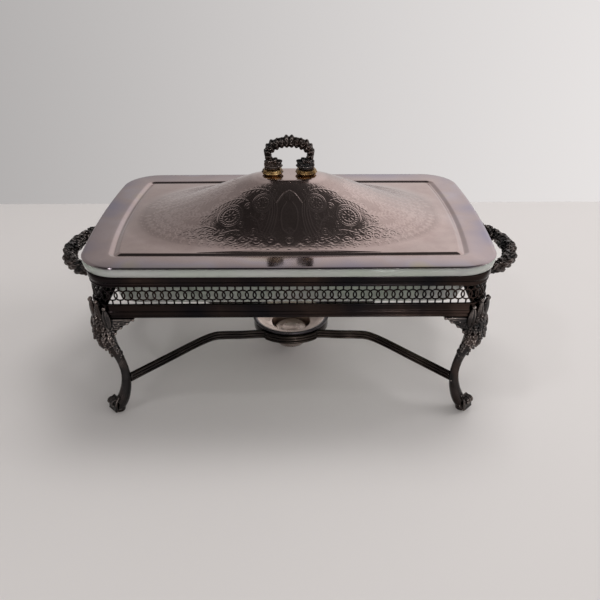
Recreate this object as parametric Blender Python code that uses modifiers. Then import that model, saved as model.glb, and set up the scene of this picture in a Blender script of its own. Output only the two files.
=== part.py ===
"""Buffet server: a domed metal lid over a glass dish, in a pierced frame on four cast legs,
with a spirit burner held between two stretchers below.

Metres, +Z up, +X along the length. The origin is on the table under the centre of the frame.
"""

import math

import bmesh
import bpy
from mathutils import Matrix, Quaternion, Vector

# ---------------------------------------------------------------- driving dimensions
FRAME_LENGTH = 0.3696  # over the pierced walls, along X
FRAME_DEPTH = 0.2400  # over the pierced walls, along Y
FRAME_CORNER = 0.0230
FRAME_BOTTOM = 0.1096  # height of the frame over the table
LOWER_RIM_HEIGHT = 0.0144
GALLERY_HEIGHT = 0.0177
UPPER_RIM_HEIGHT = 0.0111
RIM_WALL = 0.0022
RIM_PROUD = 0.0020  # how far a rim's moulding stands out from the pierced wall
LOWER_LEDGE = 0.0110  # width of the lower rim's inner ledge
UPPER_LEDGE = 0.0050  # width of the upper rim's inner ledge, which carries the dish
LEDGE_THICKNESS = 0.0016

GALLERY_SHEET = 0.0012
GALLERY_PITCH = 0.0141
GALLERY_SLOT = (0.0088, 0.0120)  # width, height

LID_OVERHANG = (0.0040, 0.0050)  # past the pierced walls, at each end and side, before the bow
LID_CORNER = 0.0340
LID_INNER_CORNER = 0.0040  # the sharpest corner that the lid's inner lines reach
LID_END_BOW = 0.0070
LID_SIDE_BOW = 0.0010
LID_SHEET = 0.0012
LID_EDGE = 0.0030  # height of the turned-down edge
GROOVE_INSET = 0.0230  # from the lid's edge to the groove's outer line
GROOVE_WIDTH = 0.0090
GROOVE_DEPTH = 0.0018
DOME_INSET = (0.0320, 0.0250)  # from the lid's edge to the dome's foot, at each end and side
DOME_HEIGHT = 0.0465
DOME_CUT = 0.0031  # the dome is levelled this far below its peak, for the handle
DOME_SQUARENESS = 2.3
DOME_FULLNESS = 0.93

DISH_HEIGHT = 0.0480
DISH_WALL = 0.0040
DISH_DRAFT = 0.0120  # how much narrower each side is at the floor
DISH_FLANGE = 0.0070
DISH_FLOOR_CORNER = 0.0200

HANDLE_SPREAD = 0.0170  # from the lid's centre to each foot
HANDLE_HEIGHT = 0.0346  # over its collars
HANDLE_BAR = 0.0042
COLLAR_RADIUS = 0.0102
COLLAR_HEIGHT = 0.0052
HANDLE_PAD = 0.0032  # height of the handle's round feet
HANDLE_THREAD = 0.0045  # how far a screw goes into the handle

END_HANDLE_REACH = 0.0552  # out from the frame's wall
END_HANDLE_SPAN = 0.1080  # between the feet's centres
END_HANDLE_BAR = 0.0066
END_HANDLE_RISE = 0.0164  # from the frame's underside to the loop's middle
END_PAD = (0.0042, 0.0140)  # thickness, width of a loop's foot
END_PAD_DROP = 0.0033  # how far it reaches below its screw
END_THREAD = 0.0028

FOOT_RADIUS = 0.0065
FOOT_HEIGHT = 0.0080
LEG_KNEE = (0.0110, 0.0100, 0.0200)  # radii of the knee's swelling
LEG_TOE = (0.0052, 0.0052, 0.0058)
LEG_PAD_RADIUS = 0.0055
LEG_PAD_DEPTH = 0.0083
LEG_SCREW_INSET = 0.0065  # from the pierced wall's corner, inwards along the diagonal
LEG_THREAD = 0.0065
WING_REACH = 0.0440  # of a leg's leaf bracket, along the frame from its corner
WING_DROP = 0.0330
WING_THICKNESS = 0.0056
WING_INSET = 0.0040  # from the pierced wall to the bracket's middle
STRAP_SEAT = Vector((0.83, 0.557, 0)).normalized()  # the way that the front left ankle's seat faces
RIVET_DEPTH = 0.0034

STRAP_HEIGHT = 0.0095
STRAP_THICKNESS = 0.0024
STRAP_LEVEL = 0.0355
STRAP_RIDGE = 0.0006
STRAP_TAB = (0.0045, 0.0035)  # the strap's flat end, on each side of its rivet

PAN_OVERHANG = 0.0008  # of the pan's rim past its holder
PAN_RIM_HEIGHT = 0.0029
PAN_WELL_RADIUS = 0.0226
PAN_WELL_DROP = 0.0100  # from the rim's top down to the well's mouth
PAN_DEPTH = 0.03625  # from the rim's top down to the underside
PAN_SHEET = 0.0012
HOLDER_RADIUS = 0.0417
HOLDER_WALL = 0.0020
CUP_CLEARANCE = 0.0048  # between the cup and the well's mouth
CUP_HEIGHT = 0.0155
CAP_HEIGHT = 0.0016
CAP_PLUG = 0.0030  # depth of the cap's plug in the cup

SCREW_RADIUS = 0.0017
SCREW_HEAD = (0.0032, 0.0020)  # radius, height
HOLE_SLACK = 0.0003  # a hole's radius over its screw's
GAP = 0.0003  # between pieces that touch

# ---------------------------------------------------------------- heights and half sizes
FRAME_HALF = (FRAME_LENGTH / 2, FRAME_DEPTH / 2)
LID_HALF = (FRAME_HALF[0] + LID_OVERHANG[0], FRAME_HALF[1] + LID_OVERHANG[1])
DOME_HALF = (LID_HALF[0] - DOME_INSET[0], LID_HALF[1] - DOME_INSET[1])
DOME_FLAT = DOME_HEIGHT - DOME_CUT
GALLERY_BOTTOM = FRAME_BOTTOM + LOWER_RIM_HEIGHT
GALLERY_TOP = GALLERY_BOTTOM + GALLERY_HEIGHT
FRAME_TOP = GALLERY_TOP + UPPER_RIM_HEIGHT
FLANGE_BOTTOM = FRAME_TOP + GAP
FLANGE_TOP = FLANGE_BOTTOM + DISH_FLANGE
DISH_BOTTOM = FLANGE_TOP - DISH_HEIGHT
LID_BOTTOM = FLANGE_TOP + GAP
LID_RIM = LID_BOTTOM + LID_EDGE
LID_CROWN = LID_RIM + DOME_FLAT
COLLAR_BOTTOM = LID_CROWN + GAP
COLLAR_TOP = COLLAR_BOTTOM + COLLAR_HEIGHT
HANDLE_BOTTOM = COLLAR_TOP + GAP
END_HANDLE_HEIGHT = FRAME_BOTTOM + END_HANDLE_RISE
STRAP_BOTTOM = STRAP_LEVEL - STRAP_HEIGHT / 2
STRAP_TOP = STRAP_LEVEL + STRAP_HEIGHT / 2
PAN_RIM_BOTTOM = STRAP_TOP + GAP
PAN_RIM_TOP = PAN_RIM_BOTTOM + PAN_RIM_HEIGHT
PAN_RIM_RADIUS = HOLDER_RADIUS + PAN_OVERHANG
PAN_BOTTOM = PAN_RIM_TOP - PAN_DEPTH
CUP_RADIUS = PAN_WELL_RADIUS - CUP_CLEARANCE
WELL_MOUTH = PAN_RIM_TOP - PAN_WELL_DROP
CUP_BOTTOM = PAN_BOTTOM + PAN_SHEET + GAP
CUP_TOP = CUP_BOTTOM + CUP_HEIGHT
CAP_BOTTOM = CUP_TOP + GAP
HOLE_RADIUS = SCREW_RADIUS + HOLE_SLACK
STRAP_ARC = HOLDER_RADIUS + GAP + STRAP_RIDGE + STRAP_THICKNESS / 2

OBJECT_NAME = "buffet_server"

# ---------------------------------------------------------------- scene and materials
for leftover in list(bpy.data.objects):
    bpy.data.objects.remove(leftover, do_unlink=True)

PARTS = bpy.data.collections.new(OBJECT_NAME)
CUTTERS = bpy.data.collections.new("cutters")
for group in (PARTS, CUTTERS):
    bpy.context.scene.collection.children.link(group)


def material(name, colour, roughness, metallic, transmission=0.0):
    made = bpy.data.materials.new(name)
    made.use_nodes = True
    shader = made.node_tree.nodes["Principled BSDF"]
    shader.inputs["Base Color"].default_value = (*colour, 1.0)
    shader.inputs["Roughness"].default_value = roughness
    shader.inputs["Metallic"].default_value = metallic
    shader.inputs["Transmission Weight"].default_value = transmission
    return made


SILVER = material("tarnished_silver", (0.42, 0.33, 0.31), 0.22, 1.0)
DARK_SILVER = material("oxidised_silver", (0.11, 0.09, 0.09), 0.28, 1.0)
BRASS = material("worn_brass", (0.55, 0.38, 0.14), 0.30, 1.0)
GLASS = material("clear_glass", (0.90, 0.95, 0.92), 0.03, 0.0, 1.0)
STEEL = material("screw_steel", (0.45, 0.44, 0.42), 0.35, 1.0)
CUP_METAL = material("burner_metal", (0.36, 0.31, 0.28), 0.38, 1.0)


# ---------------------------------------------------------------- tools
def add(name, data, finish, group=PARTS):
    """A new object in its collection. Cutters are wires that no render shows."""
    made = bpy.data.objects.new(name, data)
    group.objects.link(made)
    if finish:
        data.materials.append(finish)
    if group is CUTTERS:
        made.hide_render = True
        made.display_type = "WIRE"
    return made


def baked(source, weld=1e-6):
    """The object's evaluated mesh, welded, closed and facing out."""
    bpy.context.view_layer.update()
    graph = bpy.context.evaluated_depsgraph_get()
    mesh = bpy.data.meshes.new_from_object(source.evaluated_get(graph))
    work = bmesh.new()
    work.from_mesh(mesh)
    bmesh.ops.remove_doubles(work, verts=work.verts, dist=weld)
    bmesh.ops.recalc_face_normals(work, faces=work.faces)
    work.to_mesh(mesh)
    work.free()
    return mesh


def rebuilt(source, name, finish, group=PARTS):
    """The source turned into a plain mesh object of the given name."""
    mesh = baked(source)
    mesh.materials.clear()
    made = add(name, mesh, finish, group)
    made.matrix_world = source.matrix_world.copy()
    bpy.data.objects.remove(source, do_unlink=True)
    return made


def cut(target, cutter, operation="DIFFERENCE"):
    step = target.modifiers.new(cutter.name, "BOOLEAN")
    step.object = cutter
    step.operation = operation
    step.solver = "EXACT"


def cut_group(target, pieces, operation="DIFFERENCE"):
    """One Boolean with a group of pieces, which stays exact where single steps leave slivers."""
    group = bpy.data.collections.new(f"{target.name}_{operation.lower()}")
    CUTTERS.children.link(group)
    for piece in pieces:
        CUTTERS.objects.unlink(piece)
        group.objects.link(piece)
    step = target.modifiers.new(group.name, "BOOLEAN")
    step.operand_type = "COLLECTION"
    step.collection = group
    step.operation = operation
    step.solver = "EXACT"


def smooth(target):
    target.data.shade_smooth()
    target.data.set_sharp_from_angle(angle=math.radians(35))


def turned(name, profile, finish, place=(0, 0, 0), turn=None, steps=24, group=PARTS):
    """A turned piece: profile is (radius, height), down its outer side from the axis and back."""
    mesh = bpy.data.meshes.new(name)
    points = [(radius, 0, height) for radius, height in profile]
    mesh.from_pydata(points, [(i, i + 1) for i in range(len(points) - 1)], [])
    blank = add(name + "_profile", mesh, None)
    spin = blank.modifiers.new("spin", "SCREW")
    spin.steps = spin.render_steps = steps
    spin.use_merge_vertices = True
    spin.merge_threshold = 1e-6
    made = rebuilt(blank, name, finish, group)
    made.location = place
    if turn:
        made.rotation_mode = "QUATERNION"
        made.rotation_quaternion = turn
    smooth(made)
    return made


def cylinder(name, radius, height, place, turn=None, steps=12):
    """A cylinder for a Boolean, turned half a facet so that its edges miss the target's own."""
    profile = [(0, height), (radius, height), (radius, 0), (0, 0)]
    half_facet = Quaternion((0, 0, 1), math.pi / steps * 0.86)
    turn = (turn or Quaternion()) @ half_facet
    return turned(name, profile, None, place, turn, steps, CUTTERS)


def block(name, size, centre, group=CUTTERS):
    mesh = bpy.data.meshes.new(name)
    work = bmesh.new()
    bmesh.ops.create_cube(work, size=1.0)
    bmesh.ops.scale(work, vec=size, verts=work.verts)
    work.to_mesh(mesh)
    work.free()
    made = add(name, mesh, None, group)
    made.location = centre
    return made


def ellipsoid(name, radii, centre, group=CUTTERS, segments=10, rings=7):
    mesh = bpy.data.meshes.new(name)
    work = bmesh.new()
    bmesh.ops.create_uvsphere(work, u_segments=segments, v_segments=rings, radius=1.0)
    bmesh.ops.scale(work, vec=radii, verts=work.verts)
    work.to_mesh(mesh)
    work.free()
    made = add(name, mesh, None, group)
    made.location = centre
    return made


def rail(name, points, finish, closed=False, radii=None, bar=0.0, section=None, bevel_steps=2):
    """A bar along a path: round, with a share of the bar at each point, or with its own section."""
    curve = bpy.data.curves.new(name, "CURVE")
    curve.dimensions = "3D"
    curve.twist_mode = "Z_UP"
    line = curve.splines.new("POLY")
    line.points.add(len(points) - 1)
    for place, point in zip(line.points, points):
        place.co = (*point, 1.0)
    line.use_cyclic_u = closed
    curve.use_fill_caps = not closed
    guide = None
    if section:
        guide = section_curve(name + "_section", section)
        curve.bevel_mode = "OBJECT"
        curve.bevel_object = guide
    else:
        curve.bevel_depth = bar
        curve.bevel_resolution = bevel_steps
        for place, share in zip(line.points, radii or [1.0] * len(points)):
            place.radius = share
    made = rebuilt(add(name + "_path", curve, None), name, finish)
    if guide:
        bpy.data.objects.remove(guide, do_unlink=True)
    smooth(made)
    return made


def section_curve(name, section):
    curve = bpy.data.curves.new(name, "CURVE")
    curve.dimensions = "2D"
    line = curve.splines.new("POLY")
    line.points.add(len(section) - 1)
    for place, (across, up) in zip(line.points, section):
        place.co = (across, up, 0.0, 1.0)
    line.use_cyclic_u = True
    return add(name, curve, None, CUTTERS)


def plate(name, outline, thickness, group=CUTTERS):
    """A flat outline in the XY plane, filled and thickened about it."""
    curve = bpy.data.curves.new(name, "CURVE")
    curve.dimensions = "2D"
    curve.fill_mode = "BOTH"
    curve.extrude = thickness / 2
    line = curve.splines.new("POLY")
    line.points.add(len(outline) - 1)
    for place, (x, y) in zip(line.points, outline):
        place.co = (x, y, 0.0, 1.0)
    line.use_cyclic_u = True
    return rebuilt(add(name + "_outline", curve, None), name, None, group)


def smooth_path(points, steps):
    """Catmull-Rom points through the given ones."""
    ends = [points[0] * 2 - points[1]] + list(points) + [points[-1] * 2 - points[-2]]
    path = []
    for i in range(1, len(ends) - 2):
        before, start, stop, after = ends[i - 1 : i + 3]
        for step in range(steps):
            t = step / steps
            path.append(
                0.5
                * (
                    start * 2
                    + (stop - before) * t
                    + (before * 2 - start * 5 + stop * 4 - after) * t**2
                    + (start * 3 - before - stop * 3 + after) * t**3
                )
            )
    path.append(points[-1].copy())
    return path


def mirrored(points):
    """The points followed by their mirror images across X = 0, back to front."""
    return list(points) + [Vector((-p.x, p.y, p.z)) for p in reversed(points) if abs(p.x) > 1e-9]


def outline(half_x, half_y, corner, end_bow=0.0, side_bow=0.0, arc=4, long_side=5, short_side=3):
    """A rounded rectangle as (x, y), anticlockwise, its sides bowed outwards."""
    points = []
    corners = ((1, 1), (-1, 1), (-1, -1), (1, -1))
    for index, (sx, sy) in enumerate(corners):
        centre = Vector((sx * (half_x - corner), sy * (half_y - corner)))
        for step in range(arc + 1):
            angle = math.radians(90 * (index + step / arc))
            points.append(centre + corner * Vector((math.cos(angle), math.sin(angle))))
        nx, ny = corners[(index + 1) % 4]
        following = Vector((nx * (half_x - corner), ny * (half_y - corner)))
        along = following - centre
        count = long_side if abs(along.x) > abs(along.y) else short_side
        edge = points[-1].copy()
        for step in range(1, count + 1):
            points.append(edge + along * step / (count + 1))
    bowed = []
    for p in points:
        x = p.x + math.copysign(end_bow, p.x) * max(0.0, 1 - (p.y / half_y) ** 2) * abs(p.x) / half_x
        y = p.y + math.copysign(side_bow, p.y) * max(0.0, 1 - (p.x / half_x) ** 2) * abs(p.y) / half_y
        bowed.append(Vector((x, y)))
    return bowed


def loft(name, rings, finish, thickness, offset):
    """An open shell through rings of points, closed at the last by a fan, then thickened."""
    count = len(rings[0])
    work = bmesh.new()
    rows = [[work.verts.new(point) for point in ring] for ring in rings]
    for lower, upper in zip(rows, rows[1:]):
        for i in range(count):
            j = (i + 1) % count
            work.faces.new((lower[i], lower[j], upper[j], upper[i]))
    middle = work.verts.new(sum((v.co for v in rows[-1]), Vector()) / count)
    for i in range(count):
        work.faces.new((rows[-1][i], rows[-1][(i + 1) % count], middle))
    mesh = bpy.data.meshes.new(name)
    work.to_mesh(mesh)
    work.free()
    shell = add(name + "_shell", mesh, None)
    thicken = shell.modifiers.new("sheet", "SOLIDIFY")
    thicken.thickness = thickness
    thicken.offset = offset
    thicken.use_even_offset = True
    made = rebuilt(shell, name, finish)
    smooth(made)
    return made


def facing(direction):
    """The turn that takes +Z to the direction."""
    return Vector(direction).to_track_quat("Z", "Y")


def screw(name, head_seat, direction, length, finish=STEEL):
    """A round-headed screw: its head sits behind head_seat and its shank runs along direction."""
    radius, height = SCREW_HEAD
    profile = [
        (0, length),
        (SCREW_RADIUS, length),
        (SCREW_RADIUS, 0),
        (radius, 0),
        (radius, -height * 0.6),
        (radius * 0.6, -height),
        (0, -height),
    ]
    return turned(name, profile, finish, head_seat, facing(direction), steps=8)


# ---------------------------------------------------------------- lid
def dome_height(x, y):
    shares = (abs(x / DOME_HALF[0]), abs(y / DOME_HALF[1]))
    reach = sum(share**DOME_SQUARENESS for share in shares) ** (1 / DOME_SQUARENESS)
    if reach >= 1:
        return 0.0
    bell = ((1 + math.cos(math.pi * reach)) / 2) ** DOME_FULLNESS
    return min(DOME_FLAT, DOME_HEIGHT * bell)


def lid_outline(inset):
    return outline(
        LID_HALF[0] - inset,
        LID_HALF[1] - inset,
        max(LID_CORNER - inset * 0.6, LID_INNER_CORNER),
        LID_END_BOW,
        LID_SIDE_BOW,
    )


def lid_cover():
    groove_half = GROOVE_WIDTH / 2
    groove_mid = GROOVE_INSET + groove_half
    groove_end = GROOVE_INSET + GROOVE_WIDTH
    steps = (
        (0.0, -LID_EDGE),
        (0.0, -LID_SHEET),
        (LID_SHEET * 0.6, 0.0),
        (GROOVE_INSET, 0.0),
        (groove_mid - groove_half * 0.4, -GROOVE_DEPTH),
        (groove_mid + groove_half * 0.4, -GROOVE_DEPTH),
        (groove_end, 0.0),
    )
    rings = [[Vector((p.x, p.y, rise)) for p in lid_outline(inset)] for inset, rise in steps]
    panel = lid_outline(groove_end)
    for share in (0.9, 0.8, 0.7, 0.6, 0.5, 0.4, 0.3, 0.17, 0.08):
        rings.append([Vector((p.x, p.y, 0.0)) * share for p in panel])
        for point in rings[-1]:
            point.z = dome_height(point.x, point.y)
    made = loft("lid_cover", rings, SILVER, LID_SHEET, -1)
    made.location = (0, 0, LID_RIM)
    for side, sign in (("left", -1), ("right", 1)):
        place = (sign * HANDLE_SPREAD, 0, LID_CROWN - 3 * LID_SHEET)
        cut(made, cylinder(f"lid_hole_{side}", HOLE_RADIUS, 5 * LID_SHEET, place))
    return made


def lid_handle():
    spread = HANDLE_SPREAD
    spare = 0.0020  # the feet run this far below their level before they are cut
    top = HANDLE_BOTTOM + HANDLE_HEIGHT - HANDLE_BAR * 1.25
    half = [
        Vector((-spread, 0, HANDLE_BOTTOM - spare / 2)),
        Vector((-spread * 1.04, 0, HANDLE_BOTTOM + HANDLE_HEIGHT * 0.18)),
        Vector((-spread * 1.24, 0, HANDLE_BOTTOM + HANDLE_HEIGHT * 0.42)),
        Vector((-spread * 1.16, 0, HANDLE_BOTTOM + HANDLE_HEIGHT * 0.64)),
        Vector((-spread * 0.78, 0, HANDLE_BOTTOM + HANDLE_HEIGHT * 0.80)),
        Vector((-spread * 0.30, 0, top - HANDLE_BAR * 0.12)),
        Vector((0, 0, top)),
    ]
    path = mirrored(smooth_path(half, 3))
    count = len(path)
    radii = [0.95 + 0.25 * math.sin(math.pi * i / (count - 1)) ** 4 for i in range(count)]
    made = rail("lid_handle", path, DARK_SILVER, radii=radii, bar=HANDLE_BAR)
    for side, sign in (("left", -1), ("right", 1)):
        below = (sign * spread, 0, HANDLE_BOTTOM - spare)
        pad = cylinder(f"handle_pad_{side}", COLLAR_RADIUS * 0.72, HANDLE_PAD + spare, below)
        curl_place = (sign * spread * 0.52, 0, HANDLE_BOTTOM + HANDLE_PAD * 1.25)
        curl = ellipsoid(f"handle_curl_{side}", (HANDLE_BAR * 0.86, *[HANDLE_BAR * 0.81] * 2), curl_place)
        level_size = (4 * HANDLE_BAR, 6 * HANDLE_BAR, 4 * spare)
        level = block(f"handle_level_{side}", level_size, (sign * spread, 0, HANDLE_BOTTOM - 2 * spare))
        bore = cylinder(f"handle_bore_{side}", HOLE_RADIUS, HANDLE_THREAD + 2 * spare, below)
        cut(made, pad, "UNION")
        cut(made, curl, "UNION")
        cut(made, level)
        cut(made, bore)
    return made


def lid_fittings():
    rim = COLLAR_RADIUS
    waist = COLLAR_RADIUS * 0.80
    for side, sign in (("left", -1), ("right", 1)):
        place = (sign * HANDLE_SPREAD, 0, COLLAR_BOTTOM)
        profile = [
            (HOLE_RADIUS, COLLAR_HEIGHT),
            (waist, COLLAR_HEIGHT),
            (waist, COLLAR_HEIGHT * 0.62),
            (rim, COLLAR_HEIGHT * 0.5),
            (rim, COLLAR_HEIGHT * 0.22),
            (waist, 0),
            (HOLE_RADIUS, 0),
            (HOLE_RADIUS, COLLAR_HEIGHT),
        ]
        turned(f"lid_handle_collar_{side}", profile, BRASS, place, steps=16)
        seat = (sign * HANDLE_SPREAD, 0, LID_CROWN - LID_SHEET - GAP)
        screw(f"lid_handle_screw_{side}", seat, (0, 0, 1), HANDLE_BOTTOM + HANDLE_THREAD - seat[2])


# ---------------------------------------------------------------- dish
def glass_dish():
    """An open shell from the flange's edge, over its top, down the wall and across the floor."""
    flange = (*LID_HALF, LID_CORNER, LID_END_BOW, LID_SIDE_BOW)
    mouth_x = FRAME_HALF[0] - UPPER_LEDGE - 2 * GAP - DISH_WALL
    mouth_y = FRAME_HALF[1] - UPPER_LEDGE - 2 * GAP - DISH_WALL
    mouth_corner = FRAME_CORNER - UPPER_LEDGE
    floor_x, floor_y = mouth_x - DISH_DRAFT, mouth_y - DISH_DRAFT
    soft = DISH_WALL * 0.5
    fillet = DISH_WALL * 1.6
    steps = (
        (outline(*flange), -soft),
        (outline(flange[0] - soft, flange[1] - soft, flange[2] - soft, *flange[3:]), 0.0),
        (outline(mouth_x + soft, mouth_y + soft, mouth_corner + soft), 0.0),
        (outline(mouth_x, mouth_y, mouth_corner), -soft * 1.6),
        (outline(floor_x, floor_y, DISH_FLOOR_CORNER), DISH_WALL + fillet - DISH_HEIGHT),
        (
            outline(floor_x - fillet, floor_y - fillet, DISH_FLOOR_CORNER - fillet * 0.6),
            DISH_WALL - DISH_HEIGHT,
        ),
        (outline(floor_x / 2, floor_y / 2, DISH_FLOOR_CORNER / 2), DISH_WALL - DISH_HEIGHT),
    )
    rings = [[Vector((p.x, p.y, rise)) for p in line] for line, rise in steps]
    made = loft("glass_dish", rings, GLASS, DISH_WALL, -1)
    made.location = (0, 0, FLANGE_TOP)
    return made


# ---------------------------------------------------------------- frame
def frame_path(offset, level, arc=5):
    line = outline(
        FRAME_HALF[0] + offset,
        FRAME_HALF[1] + offset,
        FRAME_CORNER + offset,
        arc=arc,
        long_side=0,
        short_side=0,
    )
    return [Vector((p.x, p.y, level)) for p in line]


def rims():
    """Two rolled mouldings. A section is (outwards from the pierced wall, up)."""
    proud = RIM_PROUD
    low, high = LOWER_RIM_HEIGHT, UPPER_RIM_HEIGHT
    lower = [
        (-LOWER_LEDGE, 0),
        (0.2 * proud, 0),
        (0.4 * proud, 0.10 * low),
        (0.4 * proud, 0.21 * low),
        (proud, 0.27 * low),
        (proud, 0.45 * low),
        (0.4 * proud, 0.51 * low),
        (0.3 * proud, 0.92 * low),
        (0, low - GAP),
        (-RIM_WALL, low - GAP),
        (-RIM_WALL, LEDGE_THICKNESS),
        (-LOWER_LEDGE, LEDGE_THICKNESS),
    ]
    upper = [
        (-RIM_WALL, GAP),
        (0.1 * proud, GAP),
        (0.3 * proud, 0.10 * high),
        (0.3 * proud, 0.30 * high),
        (proud, 0.44 * high),
        (proud, 0.86 * high),
        (0.5 * proud, high),
        (-UPPER_LEDGE, high),
        (-UPPER_LEDGE, high - LEDGE_THICKNESS),
        (-RIM_WALL, high - LEDGE_THICKNESS),
    ]
    made = rail("lower_rim", frame_path(0, FRAME_BOTTOM), DARK_SILVER, True, section=lower)
    rail("upper_rim", frame_path(0, GALLERY_TOP), DARK_SILVER, True, section=upper)
    for x, y, label in corner_signs():
        place = leg_screw_place(x, y)
        hole = (place[0], place[1], FRAME_BOTTOM - 0.001)
        cut(made, cylinder(f"ledge_hole_{label}", HOLE_RADIUS, 4 * LEDGE_THICKNESS, hole))
    for x, y, label in corner_signs():
        start = (x * (FRAME_HALF[0] - 2 * RIM_WALL), y * END_HANDLE_SPAN / 2, end_screw_level())
        bore = cylinder(f"rim_hole_{label}", HOLE_RADIUS, 4 * RIM_WALL, start, facing((x, 0, 0)))
        cut(made, bore)


def corner_signs():
    return (
        (-1, -1, "front_left"),
        (1, -1, "front_right"),
        (-1, 1, "back_left"),
        (1, 1, "back_right"),
    )


def leg_screw_place(x, y):
    reach = (FRAME_CORNER - LEG_SCREW_INSET) / math.sqrt(2)
    return (
        x * (FRAME_HALF[0] - FRAME_CORNER + reach),
        y * (FRAME_HALF[1] - FRAME_CORNER + reach),
    )


def end_screw_level():
    return FRAME_BOTTOM + 0.76 * LOWER_RIM_HEIGHT


def galleries():
    """Four pierced walls between the rims. The end walls carry the frame's corners."""
    tall = (0, GALLERY_HEIGHT - 2 * GAP)
    section = [(-GALLERY_SHEET, tall[0]), (0, tall[0]), (0, tall[1]), (-GALLERY_SHEET, tall[1])]
    straight_x = FRAME_HALF[0] - FRAME_CORNER
    straight_y = FRAME_HALF[1] - FRAME_CORNER
    level = GALLERY_BOTTOM + GAP
    for label, y in (("front", -1), ("back", 1)):
        ends = [
            Vector((y * (straight_x - 2 * GAP), y * FRAME_HALF[1], level)),
            Vector((-y * (straight_x - 2 * GAP), y * FRAME_HALF[1], level)),
        ]
        wall = rail(f"gallery_{label}", ends, DARK_SILVER, section=section)
        pierce(wall, straight_x, Vector((0, y * FRAME_HALF[1], 0)), Vector((1, 0, 0)))
    for label, x in (("left", -1), ("right", 1)):
        quarter = []
        reach = FRAME_CORNER
        for step in range(6):
            angle = math.radians(90 * step / 5)
            quarter.append(Vector((reach * math.cos(angle), reach * math.sin(angle), 0)))
        centre = Vector((straight_x, straight_y, level))
        upper = [centre + place for place in quarter]
        lower = [Vector((p.x, -p.y, p.z)) for p in reversed(upper)]
        path = [Vector((x * p.x, x * p.y, p.z)) for p in lower + upper]
        wall = rail(f"gallery_{label}", path, DARK_SILVER, section=section)
        pierce(wall, straight_y, Vector((x * FRAME_HALF[0], 0, 0)), Vector((0, 1, 0)))


def pierce(wall, reach, middle, along):
    """A row of slots through a wall whose middle and direction are given, cut by one object."""
    width, height = GALLERY_SLOT
    count = int((2 * reach - width) / GALLERY_PITCH)
    deep = 8 * GALLERY_SHEET
    size = (width, deep, height) if along.x else (deep, width, height)
    level = Vector((0, 0, GALLERY_BOTTOM + GALLERY_HEIGHT / 2))
    mesh = bpy.data.meshes.new(wall.name + "_slots")
    work = bmesh.new()
    for index in range(count):
        place = middle + level + along * (index - (count - 1) / 2) * GALLERY_PITCH
        new = bmesh.ops.create_cube(work, size=1.0)["verts"]
        bmesh.ops.scale(work, vec=size, verts=new)
        bmesh.ops.translate(work, vec=place, verts=new)
    work.to_mesh(mesh)
    work.free()
    cut(wall, add(wall.name + "_slots", mesh, None, CUTTERS))


# ---------------------------------------------------------------- legs
def leg_spine():
    """The middle of the front left leg with its radius, from above the knee to the scroll's tip.

    A row is the offset inwards from the frame's corner along X and Y, the height as a share of
    the leg's, and the radius.
    """
    corner = Vector((-FRAME_HALF[0], -FRAME_HALF[1], 0))
    shape = (
        (0.0042, 0.0034, 1.091, 0.0060),
        (0.0040, 0.0040, 0.945, 0.0096),
        (0.0050, 0.0040, 0.836, 0.0096),
        (0.0074, 0.0060, 0.754, 0.0084),
        (0.0104, 0.0070, 0.667, 0.0060),
        (0.0150, 0.0080, 0.562, 0.0046),
        (0.0192, 0.0080, 0.439, 0.0041),
        (0.0202, 0.0070, 0.343, 0.0045),
        (0.0188, 0.0060, 0.238, 0.0054),
        (0.0150, 0.0045, 0.138, 0.0064),
        (0.0106, 0.0030, 0.077, 0.0074),
        (0.0052, 0.0012, 0.078, 0.0060),
        (0.0014, 0.0004, 0.101, 0.0038),
    )
    return [(corner + Vector((x, y, share * FRAME_BOTTOM)), radius) for x, y, share, radius in shape]


def ankle():
    """Where the stretcher meets the front left leg: the ankle's middle and radius."""
    spine = leg_spine()
    for (low, low_radius), (high, high_radius) in zip(spine[1:], spine):
        if low.z <= STRAP_LEVEL <= high.z:
            share = (STRAP_LEVEL - low.z) / (high.z - low.z)
            place = low.lerp(high, share)
            return place, low_radius + (high_radius - low_radius) * share
    raise ValueError("the stretchers' level is off the legs")


def wing(name, along, corner):
    """The leaf bracket that runs from the knee along the frame's underside."""
    reach, drop = WING_REACH, WING_DROP
    top = 4 * GAP  # above its place: the frame's room cuts it back
    root = -WING_INSET
    profile = (
        (root, top),
        (reach, top),
        (reach * 0.86, -drop * 0.12),
        (reach * 0.62, -drop * 0.32),
        (reach * 0.42, -drop * 0.68),
        (reach * 0.20, -drop),
        (root, -drop),
    )
    flat = plate(name, profile, WING_THICKNESS)
    flat.matrix_world = placing(along, (0, 0, 1), (*corner, FRAME_BOTTOM - GAP))
    return flat


def placing(x_axis, y_axis, origin):
    """The placing whose X and Y axes lie along the given ones."""
    x_axis, y_axis = Vector(x_axis), Vector(y_axis)
    z_axis = x_axis.cross(y_axis)
    rows = [(x_axis[i], y_axis[i], z_axis[i], origin[i]) for i in range(3)]
    return Matrix((*rows, (0, 0, 0, 1)))


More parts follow.
